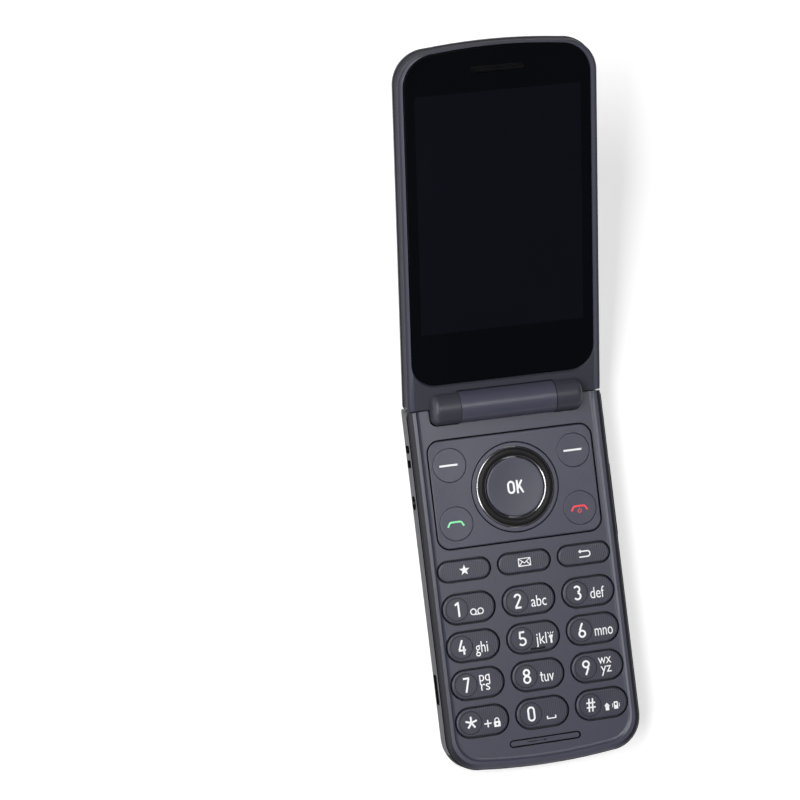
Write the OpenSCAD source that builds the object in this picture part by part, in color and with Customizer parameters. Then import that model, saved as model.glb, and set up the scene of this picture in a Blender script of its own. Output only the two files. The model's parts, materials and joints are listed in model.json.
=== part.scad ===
// Folding phone: a keypad base and a screen lid on a barrel hinge.
// The base lies on its back with the lid raised by the fold angle.
// +X is to the right of the keypad, +Y runs to the hinge, +Z comes out of the keys.
// Distances "s" and "v" are measured from the hinge axis along the base and along the lid.

/* [Halves] */
// Width of both halves
body_w = 54.8; // [54.4:0.1:56]
// Length from the hinge axis to the free end
half_l = 98; // [98:0.5:102]
// Thickness of the base at its rim
base_t = 10.4; // [10.4:0.1:10.8]
// Thickness of the lid at its rim
lid_t = 7.8; // [7.8:0.1:8.4]
// Gap between the two rims when the phone is shut
shut_gap = 0.4; // [0.3:0.05:0.8]
// Angle by which the open lid stands above flat
fold = 19.5; // [8:0.5:30]
// Radius of the corners at the free ends
corner_r = 9; // [7:0.5:10]
// Rise of the crowned free edges
end_crown = 1; // [0.5:0.1:1.5]

/* [Hinge] */
// Radius of the hinge barrel
barrel_r = 4.3; // [4.1:0.1:4.3]
// Half the length of the whole barrel
barrel_half = 21; // [20:0.5:22]
// Half the length of the middle knuckle
knuckle_half = 13.3; // [12.5:0.1:13.6]
// Bore of the middle knuckle
knuckle_bore_r = 3; // [2.8:0.1:3.1]

/* [Keypad] */
// Width of a number key
key_w = 14.4; // [13.8:0.1:14.4]
// Height of a number key
key_h = 7.8; // [7.2:0.1:7.8]
// Height of a function key
fn_key_h = 5.4; // [5:0.1:5.6]
// Column spacing of the keys
key_pitch_x = 16.85; // [16.6:0.05:16.9]
// Row spacing of the number keys
key_pitch_y = 10.15; // [10:0.05:10.3]
// Distance of the function row from the hinge axis
fn_row_s = 43.4; // [43.2:0.1:43.8]
// Distance of the first number row from the hinge axis
first_row_s = 53.6; // [53.4:0.1:53.8]
// Travel of every key
key_travel = 0.3; // [0.2:0.05:0.3]
// Gap round every key
key_gap = 0.15; // [0.1:0.01:0.18]

/* [Navigation keys] */
// Distance of the navigation ring's centre from the hinge axis
nav_s = 23.1; // [22.8:0.1:23.4]
// Outer radius of the navigation ring
ring_r = 10.75; // [10.4:0.05:10.8]
// Radius of the OK key
ok_r = 8; // [7.6:0.1:8.2]
// Sideways distance of the four round keys
round_key_x = 17.4; // [17.2:0.1:17.8]
// Radius of the four round keys
round_key_r = 4.55; // [4.2:0.05:4.6]
// Distance of the two soft keys from the hinge axis
soft_key_s = 15.2; // [15:0.1:15.4]
// Distance of the call and end keys from the hinge axis
call_key_s = 30.9; // [30.6:0.1:31.2]

/* [Screens] */
// Half the width of the main glass
glass_half = 25.35; // [25:0.05:25.4]
// Width of the main display module
display_w = 48.4; // [47:0.1:48.4]
// Width of the outer window
window_w = 38.2; // [36:0.1:38.2]
// Distance of the outer window's near edge from the hinge axis
window_v0 = 26.3; // [26:0.1:28]
// Distance of the outer window's far edge from the hinge axis
window_v1 = 80.1; // [78:0.1:81]

/* [Hidden] */

// Overlap of joined shapes, and reach of cutting shapes
eps = 0.02;
big = 60;
low = -10;
high = 12;
hinge_y = half_l / 2;
axis_z = base_t + shut_gap / 2;
half_w = body_w / 2;
// Opening between the two hinge end faces
end_gap = 0.2;
// Clearance of a pocket round the barrel
pocket_r = barrel_r + 0.3;
pocket_half = barrel_half + 0.35;
cap_gap = 0.15;
cap_round = 1.8;
// Chamfer of the corners beside the hinge
corner_cut = 1.1;
// Web that joins the middle knuckle to the deck
web_s = 6.5;
web_z = 6.6;

// Height levels of the base, from the rear face
seam_z = 4.4;
split_z = 9.2;
deck_z = 9.9;
deck_low_z = 8.8;
ledge_z = 6.7;
board_z = 6.7;
board_t = 0.7;
board_top = board_z + board_t;
dome_top = board_top + 0.35;
flange_z = 8.25;
key_top = base_t;
nav_top = 10.15;
cover_t = 1.2;
wall_t = 1.5;
port_z = 6.3;
dome_film_t = 0.1;
dome_r = 2;
mat_z = board_top + 0.15;
mat_t = 0.35;
mat_hole_r = 2.6;
ok_hole_r = 4.2;
mic_hole_r = 2.4;
screw_hole_r = 2;

// Height, side inset and start beside the hinge of each outer section of a half
back_section = [[0, 4.2, 8.5], [0.25, 3.3, 5.6], [0.8, 2.1, 2.6], [1.4, 1.4, 0.2], [1.9, 1, -2],
    [2.6, 0.6, -4], [3.6, 0.2, -4], [4.8, 0, -4]];
rim_section = [[3.6, 0.2, -4], [4.8, 0, -4], [9.5, 0, -4], [10, 0.55, -4], [base_t - eps, 1.55, -4]];
rim_n = -shut_gap / 2;
back_n = rim_n - lid_t;
lid_section = [[back_n, 3.6, -4], [back_n + 0.3, 2.2, -4], [back_n + 1, 1.1, -4],
    [back_n + 2, 0.4, -4], [back_n + 3, 0.05, -4], [back_n + 3.8, 0, -4], [rim_n - 0.9, 0, -4],
    [rim_n - 0.45, 0.45, -4], [rim_n - eps, 1.3, -4]];
base_hollow = [[cover_t, 4.6, 7.6], [cover_t + 0.9, 2.6, 7.6], [cover_t + 2, 1.6, 7.6],
    [seam_z + eps, 1.5, 7.6]];
lid_seam_n = back_n + 3.9;
lid_cover_t = 1.1;
lid_hollow = [[back_n + lid_cover_t, 4, 6.5], [back_n + 1.9, 2.2, 6.5], [back_n + 2.9, 1.5, 6.5],
    [lid_seam_n + eps, 1.4, 6.5]];

// Depth levels of the lid, from the hinge axis plane
glass_n = rim_n - 0.5;
glass_t = 0.9;
glass_v0 = 6.5;
glass_v1 = 97;
bezel_n = glass_n - glass_t - 0.1;
bezel_t = 0.9;
display_t = 1.95;
display_v0 = 16;
display_v1 = 88;
earpiece_v = 91;
earpiece_w = 14.5;
earpiece_h = 1.8;
lid_board_n = -4.95;
outer_key_v = 14.2;
outer_key_r = 5.1;
window_t = 0.9;
window_r = 2.6;

// Span of the flat cable's tail through the middle knuckle, and its levels
flex_x0 = 5.2;
flex_x1 = 8.7;
flex_roll_r = 1.5;
flex_roll_x1 = 12.8;
flex_t = 0.15;
flex_z = 8.45;
flex_end_s = 6.7;

// Drive shaft, its socket in the cam unit, and the hollow pin
shaft_r = 1.84;
shaft_x0 = -19.6;
shaft_x1 = -9;
cartridge_x1 = 4.5;
pin_x1 = 19.5;
pin_bore_r = 2.3;

// Places of screws, as sideways distance and distance from the hinge axis
base_screws = [[21.5, 8], [19.5, 92.6]];
lid_screw_places = [[22.6, 10.5], [19.5, 92.5]];
screw_r = 0.7;
base_head_r = 1.3;
lid_head_r = 1.2;
socket_r = 0.5;

// Rear parts
camera_s = 13.9;
camera_hole_r = 5.6;
speaker_x = [9.6, 12.8, 16];
flash_x = -10.6;
flash_w = 3.4;
flash_h = 4.9;
speaker_l = 5.4;
speaker_w = 1.45;
camera_window_r = 4.7;
// Notch in the far edge for opening the rear cover
pry_x = 6;
pry_w = 11;
pry_h = 2.4;
contact_x = [-8.1, 0, 8.1];

// Side parts
jack_s = 24.1;
jack_bore_r = 1.8;
usb_s = 74.4;
lanyard_s = [9.7, 13.6];
rocker_s = 29.8;
rocker_l = 20.5;
rocker_h = 2.2;
rocker_z = 7.6;
rocker_x = 25.4;
rocker_stand = 0.35;
side_x = 20;
lanyard_w = 2.1;
lanyard_h = 3.6;
jack_depth = 12.5;

// Microphone groove below the keys
mic_s = 91.4;
mic_w = 20.1;
mic_h = 2.1;
mic_port_r = 0.5;

// Outlines as half width, near end, far end, near and far corner radius, and crown
deck_recess = [23.9, 5.2, 94.8, 1.5, 6.4, end_crown];
deck_plate = [25.7, 6.4, 96.1, 1, 7.4, end_crown];
nav_recess = [23.25, 8.1, 37.75, 3.6, 3.6, 0];
nav_outline = [23, 8.35, 37.5, 3.4, 3.4, 0];
frame_bore = [half_w - wall_t, 6.2, half_l - wall_t, 1, corner_r - 1.2, end_crown];
frame_ledge = [23.9, 6.2, 94.6, 1, 6.4, end_crown];
mat_outline = [24.2, 7, 91, 2, 5, 0];
dome_outline = [24, 7, 90.6, 2, 5, 0];
board_outline = [25.4, 7, 96, 1.5, 7, end_crown];
antenna_outline = [18, 90.6, 94.2, 1, 2, 0.6];
glass_outline = [glass_half, glass_v0, glass_v1, 6.7, 8.3, end_crown];
glass_recess = [glass_half + 0.1, glass_v0 - 0.1, glass_v1 + 0.1, 6.8, 8.4, end_crown];
lid_bore = [25.9, 7.5, 96.4, 1.5, 7.4, end_crown];
lid_board_outline = [24.6, 8, 88, 1.5, 3, 0];
window_outline = [window_w / 2, window_v0, window_v1, window_r - 0.1, window_r - 0.1, 0];
window_recess = [window_w / 2 + 0.1, window_v0 - 0.1, window_v1 + 0.1, window_r, window_r, 0];

// Boxes of inner parts: x, then s or v, then height, each from and to
shield_box = [6, 23.4, 21.5, 35.5, 4.7, board_z];
shield_wall = 0.3;
battery_box = [-20.6, 22, 38.6, 90, 1.4, 6.2];
contact_z = [2.4, 5.2];
speaker_box = [5.9, 20.5, 8.4, 19.6, cover_t + 0.1, 4.6];
camera_half = 4.3;
lens_tube_r = 3.4;
lens_r = 1.4;
camera_window_z0 = 0.15;
camera_window_z1 = 0.95;
camera_base_z = 2.6;
usb_box = [-half_w + 0.5, -21.5, usb_s - 3.9, usb_s + 3.9, port_z - 1.4, port_z + 1.4];
usb_wall = 0.3;
usb_tongue = [-half_w + 1.6, -21.9, usb_s - 2.4, usb_s + 2.4, port_z - 0.3, port_z + 0.3];
jack_box = [-half_w + 1.7, -13.5, jack_s - 3, jack_s + 3, port_z - 2.4, port_z + 1];
jack_sleeve_r = jack_bore_r + 0.35;
jack_notch = [-big, -13.2, jack_s - 3.3, jack_s + 3.3, low, high];
jack_bay = [jack_box[0] - 0.3, -side_x, jack_s - 3.1, jack_s + 3.1, port_z - 2.5, high];
lanyard_passage = [-25.6, -24.6, lanyard_s[0] - lanyard_w / 2, lanyard_s[1] + lanyard_w / 2,
    port_z - lanyard_h / 2, port_z + lanyard_h / 2];
usb_mouth = [-big, -side_x, usb_s - 4.1, usb_s + 4.1, port_z - 1.55, port_z + 1.55];
rocker_mouth = [side_x, big, rocker_s - rocker_l / 2 - 0.2, rocker_s + rocker_l / 2 + 0.2,
    rocker_z - rocker_h / 2 - 0.15, rocker_z + rocker_h / 2 + 0.15];
rocker_bay = [24.5, half_w - wall_t + eps, rocker_s - 11.3, rocker_s + 11.3, 5.9, high];
usb_notch = [-big, -21.2, usb_s - 4.2, usb_s + 4.2, low, high];
lanyard_notch = [-big, -24.2, 8, 15.3, low, high];
rocker_notch = [24.3, big, rocker_s - 11.5, rocker_s + 11.5, low, high];
card_box = [-11.5, 4.5, 22, 37.6, 4.9, board_z];
card_slot = [-11, 4, 23, 38, 5.2, 6.1];
motor_x = -17.6;
motor_s = 33.2;
motor_r = 4;
mic_box = [-1.75, 1.75, mic_s - 1.3, mic_s + 1.3, board_top, 8.6];
display_box = [-display_w / 2, display_w / 2, display_v0, display_v1, bezel_n - display_t, bezel_n];
display_bore = [-display_w / 2 - 0.2, display_w / 2 + 0.2, display_v0 - 0.2, display_v1 + 0.2,
    back_n, 0];
receiver_half_w = 6.5;
receiver_half_h = 2.5;
receiver_slot_w = 9;
receiver_slot_h = 1;
grille_hole_r = 0.25;
outer_display_box = [-15.8, 16.3, 31.4, 74, back_n + window_t + 0.15, lid_board_n - 0.1];
outer_display_bore = [-16.6, 16.6, 31, 76, back_n - 1, 0];
magnet_box = [17, 21, 79, 84, back_n + lid_cover_t, lid_board_n];

// Keys: flange below the deck, plunger over the switch, and crown of the round parts
flange_top = deck_low_z - 0.05;
plunger_r = 1.2;
plunger_z = dome_top + key_travel + 0.05;
round_key_top = 10.2;
ring_edge_z = 10.25;
ring_crest_z = 10.75;
ok_rim_z = 10.55;
ok_dish_z = 10.4;
nav_base_z = 8.75;
ok_stem_r = 4.8;
switch_r = 9.3;
pad_r = 10.3;
pad_hole_r = ok_r + 0.2;
pad_plunger_r = 0.9;
pad_z = 8.2;
pad_t = 0.22;
ring_middle = (ring_r + ok_r + 0.3) / 2;
ring_crown = [for (a = [0:20:180]) [ring_middle + (ring_r - ring_middle) * cos(a),
    ring_edge_z + (ring_crest_z - ring_edge_z) * sin(a)]];
collar_r = ring_r + 1.7;
collar_t = 0.12;

function arc(cx, cy, r, a0, a1, steps) =
    [for (i = [0:steps]) let (a = a0 + (a1 - a0) * i / steps) [cx + r * cos(a), cy + r * sin(a)]];

// Outline with small corners at the near end and round, crowned corners at the far end
function panel(half, s0, s1, r0, r1, crown) = concat(
    arc(half - r0, s0 + r0, r0, -90, 0, 6),
    arc(half - r1, s1 - crown - r1, r1, 0, 84, 12),
    [for (u = [0.75:-0.25:-0.75]) [u * (half - r1), s1 - crown * u * u]],
    arc(r1 - half, s1 - crown - r1, r1, 96, 180, 12),
    arc(r0 - half, s0 + r0, r0, 180, 270, 6));

function half_outline(inset, start) =
    panel(half_w - inset, start, half_l - inset, 0.5, corner_r - 0.8 * inset, end_crown);

module on_base() {
    translate([0, hinge_y, 0]) mirror([0, 1, 0]) children();
}

module on_lid() {
    translate([0, hinge_y, axis_z]) rotate([fold, 0, 0]) children();
}

module slab(points, z0, z1) {
    translate([0, 0, z0]) linear_extrude(z1 - z0) polygon(points);
}

module plate(o, z0, z1) {
    slab(panel(o[0], o[1], o[2], o[3], o[4], o[5]), z0, z1);
}

module block(x0, x1, s0, s1, z0, z1) {
    translate([x0, s0, z0]) cube([x1 - x0, s1 - s0, z1 - z0]);
}

module box(b) {
    block(b[0], b[1], b[2], b[3], b[4], b[5]);
}

// Pill outline, longer along X
module pill(w, h) {
    square([w - h, h], center = true);
    translate([(h - w) / 2, 0]) circle(d = h, $fn = 48);
    translate([(w - h) / 2, 0]) circle(d = h, $fn = 48);
}

module pill_block(w, h, x, s, z0, z1) {
    translate([x, s, z0]) linear_extrude(z1 - z0) pill(w, h);
}

module disc(r, x, s, z0, z1) {
    translate([x, s, z0]) cylinder(r = r, h = z1 - z0, $fn = 64);
}

module hole(r, x, s) {
    disc(r, x, s, low, high);
}

module pill_hole(w, h, x, s) {
    pill_block(w, h, x, s, low, high);
}

module cross_rod(r, x0, x1) {
    translate([x0, 0, 0]) rotate([0, 90, 0]) cylinder(r = r, h = x1 - x0, $fn = 64);
}

// Rod along X whose far end has a rounded rim
module rounded_rod(r, x0, x1, rim) {
    translate([x0, 0, 0]) rotate([0, 90, 0]) rotate_extrude($fn = 64)
        polygon(concat([[0, 0], [r, 0]], arc(r - rim, x1 - x0 - rim, rim, 0, 90, 5), [[0, x1 - x0]]));
}

module base_axis() {
    translate([0, 0, axis_z]) children();
}

module mirrored() {
    children();
    mirror([1, 0, 0]) children();
}

module sections(list) {
    hull() for (part = list) slab(half_outline(part[1], part[2]), part[0], part[0] + eps);
}

// Space beyond the slanted plane where base and lid meet
module past_hinge() {
    base_axis() rotate([-fold / 2, 0, 0]) block(-big, big, -big, end_gap / 2, -big, big);
}

module before_hinge() {
    rotate([-fold / 2, 0, 0]) block(-big, big, -big, end_gap / 2, -big, big);
}

// Wedges that take the sharp corners off both sides of the hinge line
module hinge_corners() {
    rotate([-fold / 2, 0, 0]) mirrored() translate([half_w, end_gap / 2, 0]) rotate([0, 0, 45])
        cube([corner_cut, corner_cut, big], center = true);
}

// Part of the base's outer form between two heights
module base_form(outline, z0, z1) {
    difference() {
        intersection() {
            sections(outline);
            block(-big, big, -big, 2 * big, z0, z1);
        }
        past_hinge();
        base_axis() hinge_corners();
    }
}

module lid_form(n0, n1) {
    difference() {
        intersection() {
            sections(lid_section);
            block(-big, big, -big, 2 * big, n0, n1);
        }
        before_hinge();
        hinge_corners();
    }
}

// Pockets where the lid's two end knuckles turn
module cap_pockets() {
    mirrored() base_axis() rounded_rod(pocket_r, knuckle_half + eps, pocket_half, cap_round + 0.2);
}

number_names = ["key_1", "key_2", "key_3", "key_4", "key_5", "key_6", "key_7", "key_8", "key_9",
    "key_star", "key_0", "key_hash"];

function key_x(i) = (i % 3 - 1) * key_pitch_x;
function key_s(i) = first_row_s + floor(i / 3) * key_pitch_y;

module each_number_place() {
    for (i = [0:11]) translate([key_x(i), key_s(i), 0]) children();
}

module each_fn_place() {
    for (i = [0:2]) translate([key_x(i), fn_row_s, 0]) children();
}

module each_round_place() {
    for (side = [-1, 1], s = [soft_key_s, call_key_s]) translate([side * round_key_x, s, 0]) children();
}

module each_nav_switch() {
    translate([0, nav_s, 0]) for (a = [0:90:270]) rotate([0, 0, a]) translate([switch_r, 0, 0]) children();
}

module each_switch() {
    each_number_place() children();
    each_fn_place() children();
    each_round_place() children();
    each_nav_switch() children();
    translate([0, nav_s, 0]) children();
}

module each_base_screw() {
    for (place = base_screws, side = [-1, 1]) translate([side * place[0], place[1], 0]) children();
}

module each_lid_screw() {
    for (place = lid_screw_places, side = [-1, 1]) translate([side * place[0], place[1], 0]) children();
}

module each_speaker_slot() {
    for (x = speaker_x) translate([x, camera_s, 0]) rotate([0, 0, 90]) children();
}

// Mouth of the headphone socket, facing into the phone
module jack_place() {
    translate([jack_box[0], jack_s, port_z]) rotate([0, 90, 0]) children();
}

module flash_place() {
    translate([flash_x, camera_s, 0]) rotate([0, 0, 90]) children();
}

// ---- Base ----

module front_housing() {
    color([0.27, 0.27, 0.30]) on_base() difference() {
        union() {
            difference() {
                base_form(rim_section, split_z, base_t);
                plate(deck_recess, deck_z, axis_z);
            }
            plate(deck_plate, deck_low_z, split_z + eps);
            each_base_screw() disc(screw_r + 0.8, 0, 0, board_top, deck_low_z + eps);
            base_axis() cross_rod(barrel_r, -knuckle_half, knuckle_half);
            difference() {
                block(-knuckle_half, knuckle_half, 0, web_s, web_z, deck_z);
                past_hinge();
            }
        }
        cap_pockets();
        base_axis() cross_rod(knuckle_bore_r, -knuckle_half - 1, knuckle_half + 1);
        plate(nav_recess, split_z + 0.1, axis_z);
        each_number_place() pill_hole(key_w + 2 * key_gap, key_h + 2 * key_gap, 0, 0);
        each_fn_place() pill_hole(key_w + 2 * key_gap, fn_key_h + 2 * key_gap, 0, 0);
        each_round_place() hole(round_key_r + key_gap, 0, 0);
        hole(ring_r + 0.2, 0, nav_s);
        each_base_screw() disc(screw_r + 0.05, 0, 0, low, board_top + 1);
        pill_block(mic_w, mic_h, 0, mic_s, deck_z - 0.4, high);
        hole(mic_port_r, 0, mic_s);
        block(flex_x0 - 0.3, flex_x1 + 0.3, 0, web_s + 0.5, flex_z - 0.15, flex_z + 2 * flex_t);
    }
}

module mid_frame() {
    color([0.22, 0.22, 0.25]) on_base() difference() {
        base_form(rim_section, seam_z, split_z);
        plate(frame_bore, ledge_z, high);
        plate(frame_ledge, low, ledge_z + 1);
        cap_pockets();
        base_axis() cross_rod(pocket_r, -knuckle_half - 0.1, knuckle_half + 0.1);
        block(-knuckle_half - 0.1, knuckle_half + 0.1, -3, web_s + 0.15, web_z - 0.15, high);
        jack_place() translate([0, 0, -6]) cylinder(r = jack_bore_r + 0.15, h = 12, $fn = 64);
        box(jack_bay);
        for (s = lanyard_s)
            block(-big, -25, s - lanyard_w / 2, s + lanyard_w / 2, port_z - lanyard_h / 2,
                port_z + lanyard_h / 2);
        box(lanyard_passage);
        box(usb_mouth);
        box(rocker_mouth);
        box(rocker_bay);
        each_base_screw() hole(base_head_r + 0.3, 0, 0);
    }
}

module rear_cover() {
    color([0.16, 0.16, 0.18]) on_base() difference() {
        base_form(back_section, 0, seam_z - 0.05);
        sections(base_hollow);
        disc(camera_hole_r, 0, camera_s, low, camera_base_z);
        each_speaker_slot() pill_block(speaker_l, speaker_w, 0, 0, low, seam_z);
        flash_place() pill_block(flash_h, flash_w, 0, 0, low, seam_z);
        pill_block(pry_w, pry_h, pry_x, half_l + 0.3, seam_z - 1.2, high);
    }
}

module nav_panel() {
    color([0.30, 0.30, 0.33]) on_base() difference() {
        union() {
            plate(nav_outline, split_z + 0.1, nav_top);
            disc(collar_r, 0, nav_s, split_z + 0.2, nav_top + collar_t);
        }
        each_round_place() hole(round_key_r + key_gap, 0, 0);
        hole(ring_r + 0.2, 0, nav_s);
    }
}

// Silicone sheet that carries the keys, open over each switch
module keypad_mat() {
    color([0.55, 0.55, 0.56]) on_base() difference() {
        plate(mat_outline, mat_z, mat_z + mat_t);
        each_switch() hole(mat_hole_r, 0, 0);
        each_base_screw() hole(screw_hole_r, 0, 0);
        hole(ok_hole_r, 0, nav_s);
        hole(mic_hole_r, 0, mic_s);
        box(jack_notch);
        box(usb_notch);
    }
}

// Clicking metal domes on their carrier film
module dome_sheet() {
    color([0.75, 0.73, 0.68]) on_base() {
        difference() {
            plate(dome_outline, board_top, board_top + dome_film_t);
            each_base_screw() hole(screw_hole_r, 0, 0);
            hole(mic_hole_r, 0, mic_s);
            box(jack_notch);
            box(usb_notch);
        }
        each_switch() {
            disc(dome_r, 0, 0, board_top + dome_film_t, board_top + 0.25);
            disc(0.6 * dome_r, 0, 0, board_top + 0.2, dome_top);
        }
    }
}

module main_board() {
    color([0.10, 0.30, 0.20]) on_base() difference() {
        plate(board_outline, board_z, board_top);
        each_base_screw() hole(screw_r + 0.2, 0, 0);
        box(jack_notch);
        box(usb_notch);
        box(lanyard_notch);
        box(rocker_notch);
    }
}

module shield_can() {
    color([0.72, 0.72, 0.74]) on_base() difference() {
        box(shield_box);
        block(shield_box[0] + shield_wall, shield_box[1] - shield_wall, shield_box[2] + shield_wall,
            shield_box[3] - shield_wall, shield_box[4] + shield_wall, high);
    }
}

module battery() {
    color([0.20, 0.21, 0.24]) on_base() difference() {
        box(battery_box);
        for (x = contact_x)
            block(x - 1.1, x + 1.1, low, battery_box[2] + 0.6, contact_z[0], contact_z[1]);
    }
}

module loudspeaker() {
    color([0.10, 0.10, 0.11]) on_base() difference() {
        box(speaker_box);
        each_speaker_slot() pill_block(speaker_l - 0.4, speaker_w - 0.25, 0, 0, low, cover_t + 0.6);
    }
}

module camera_module() {
    color([0.12, 0.12, 0.13]) on_base() {
        block(-camera_half, camera_half, camera_s - camera_half, camera_s + camera_half,
            camera_base_z, board_z);
        difference() {
            disc(lens_tube_r, 0, camera_s, camera_window_z1 + 0.05, camera_base_z + eps);
            disc(lens_r, 0, camera_s, low, camera_window_z1 + 0.65);
        }
    }
}

module camera_ring() {
    color([0.15, 0.15, 0.17]) on_base() difference() {
        disc(camera_hole_r - 0.25, 0, camera_s, 0.05, cover_t);
        hole(camera_window_r + 0.05, 0, camera_s);
    }
}

module camera_window() {
    color([0.05, 0.05, 0.07]) on_base()
        disc(camera_window_r, 0, camera_s, camera_window_z0, camera_window_z1);
}

module flash_lens() {
    color([0.85, 0.85, 0.82]) on_base() flash_place()
        pill_block(flash_h - 0.2, flash_w - 0.2, 0, 0, 0.1, 1.5);
}

module usb_receptacle() {
    color([0.70, 0.70, 0.72]) on_base() {
        difference() {
            box(usb_box);
            block(-half_w, usb_box[1] - 0.5, usb_box[2] + usb_wall, usb_box[3] - usb_wall,
                usb_box[4] + usb_wall, usb_box[5] - usb_wall);
        }
        box(usb_tongue);
    }
}

module audio_jack() {
    color([0.08, 0.08, 0.09]) on_base() difference() {
        union() {
            box(jack_box);
            jack_place() cylinder(r = jack_sleeve_r, h = jack_box[1] - jack_box[0], $fn = 64);
        }
        jack_place() translate([0, 0, -1])
            cylinder(r = jack_bore_r, h = jack_depth, $fn = 64);
    }
}

module microphone() {
    color([0.65, 0.60, 0.45]) on_base() difference() {
        box(mic_box);
        disc(mic_port_r - 0.1, 0, mic_s, 8.2, high);
    }
}

module sim_holder() {
    color([0.68, 0.68, 0.70]) on_base() difference() {
        box(card_box);
        box(card_slot);
    }
}

module vibration_motor() {
    color([0.60, 0.60, 0.62]) on_base() {
        disc(motor_r, motor_x, motor_s, 3.9, board_z);
        disc(0.7 * motor_r, motor_x, motor_s, 3.6, 4);
    }
}

module antenna_carrier() {
    color([0.62, 0.54, 0.36]) on_base() difference() {
        plate(antenna_outline, 2.3, board_z);
        each_base_screw() hole(3, 0, 0);
    }
}

// Sprung cam unit in the middle knuckle, with the socket of the drive shaft
module hinge_cartridge() {
    color([0.58, 0.58, 0.60]) on_base() base_axis() difference() {
        cross_rod(knuckle_bore_r - 0.05, -knuckle_half + 0.1, cartridge_x1);
        cross_rod(shaft_r + 0.06, -knuckle_half - 1, shaft_x1 + 0.2);
    }
}

// Rolled flat cable in the free half of the knuckle, and its tail to the board
module hinge_flex() {
    color([0.75, 0.45, 0.10]) on_base() {
        base_axis() difference() {
            cross_rod(flex_roll_r, flex_x0, flex_roll_x1);
            cross_rod(flex_roll_r - 0.2, flex_x0 - 1, flex_roll_x1 + 1);
        }
        block(flex_x0, flex_x1, 1.3, 1.3 + flex_t, flex_z, axis_z);
        block(flex_x0, flex_x1, 1.3, flex_end_s, flex_z, flex_z + flex_t);
    }
}

module housing_screws() {
    color([0.5, 0.5, 0.5]) on_base() each_base_screw() {
        difference() {
            disc(base_head_r, 0, 0, board_z - 0.8, board_z);
            disc(socket_r, 0, 0, low, board_z - 0.4);
        }
        disc(screw_r, 0, 0, board_z - eps, board_top + 0.9);
    }
}

// ---- Lid ----

module lid_frame() {
    color([0.27, 0.27, 0.30]) on_lid() difference() {
        union() {
            lid_form(lid_seam_n, 0);
            mirrored() rounded_rod(barrel_r, knuckle_half + cap_gap, barrel_half, cap_round);
        }
        plate(glass_recess, bezel_n, 2);
        box(display_bore);
        plate(lid_bore, back_n, bezel_n - bezel_t);
        block(-receiver_half_w - 0.5, receiver_half_w + 0.5, earpiece_v - receiver_half_h - 0.3,
            earpiece_v + receiver_half_h + 0.3, back_n, 0);
        cross_rod(pocket_r, -knuckle_half - cap_gap, knuckle_half + cap_gap);
        cross_rod(shaft_r + 0.01, shaft_x0, 0);
        cross_rod(knuckle_bore_r - 0.05, 0, pin_x1 + 0.1);
        each_lid_screw() disc(lid_head_r + 0.1, 0, 0, bezel_n - 0.6, 2);
        each_lid_screw() hole(screw_r + 0.15, 0, 0);
    }
}

module lid_cover() {
    color([0.16, 0.16, 0.18]) on_lid() {
        difference() {
            lid_form(back_n, lid_seam_n - 0.05);
            sections(lid_hollow);
            plate(window_recess, low, back_n + window_t + 0.05);
            box(outer_display_bore);
            hole(outer_key_r + key_gap, 0, outer_key_v);
            cross_rod(pocket_r, -pocket_half, pocket_half);
        }
        each_lid_screw() difference() {
            disc(screw_r + 1, 0, 0, back_n + lid_cover_t - eps, bezel_n - bezel_t - 0.05);
            disc(screw_r + 0.05, 0, 0, back_n + lid_cover_t + 0.6, 0);
        }
    }
}

module display_glass() {
    color([0.03, 0.03, 0.04]) on_lid() difference() {
        plate(glass_outline, glass_n - glass_t, glass_n);
        pill_hole(earpiece_w, earpiece_h, 0, earpiece_v);
    }
}

module display_module() {
    color([0.10, 0.10, 0.12]) on_lid() box(display_box);
}

module earpiece_grille() {
    color([0.20, 0.20, 0.21]) on_lid() difference() {
        pill_block(earpiece_w - 0.1, earpiece_h - 0.1, 0, earpiece_v, glass_n - 0.6, glass_n - 0.25);
        for (x = [-6:1:6]) hole(grille_hole_r, x, earpiece_v);
    }
}

module earpiece_receiver() {
    color([0.35, 0.35, 0.36]) on_lid() difference() {
        block(-receiver_half_w, receiver_half_w, earpiece_v - receiver_half_h,
            earpiece_v + receiver_half_h, bezel_n - 2.4, bezel_n);
        pill_block(receiver_slot_w, receiver_slot_h, 0, earpiece_v, bezel_n - 0.4, 0);
    }
}

module lid_board() {
    color([0.10, 0.30, 0.20]) on_lid() difference() {
        plate(lid_board_outline, lid_board_n, lid_board_n + 0.6);
        each_lid_screw() hole(screw_r + 1.2, 0, 0);
    }
}

module outer_display() {
    color([0.12, 0.12, 0.14]) on_lid() box(outer_display_box);
}

module outer_window() {
    color([0.06, 0.06, 0.08]) on_lid() plate(window_outline, back_n, back_n + window_t);
}

module lid_magnet() {
    color([0.75, 0.75, 0.76]) on_lid() box(magnet_box);
}

module lid_screws() {
    color([0.5, 0.5, 0.5]) on_lid() each_lid_screw() {
        difference() {
            disc(lid_head_r, 0, 0, bezel_n - 0.6, bezel_n - 0.05);
            disc(socket_r, 0, 0, bezel_n - 0.3, high);
        }
        disc(screw_r, 0, 0, back_n + lid_cover_t + 0.8, bezel_n - 0.5);
    }
}

// Drive shaft from the left end knuckle into the cam unit
module hinge_shaft() {
    color([0.62, 0.62, 0.64]) on_lid() cross_rod(shaft_r, shaft_x0, shaft_x1);
}

// Hollow pin from the right end knuckle into the middle knuckle
module hinge_pin() {
    color([0.62, 0.62, 0.64]) on_lid() difference() {
        cross_rod(knuckle_bore_r - 0.06, flex_x1 + 0.5, pin_x1);
        cross_rod(pin_bore_r, flex_x1, pin_x1 + 1);
    }
}

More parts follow.
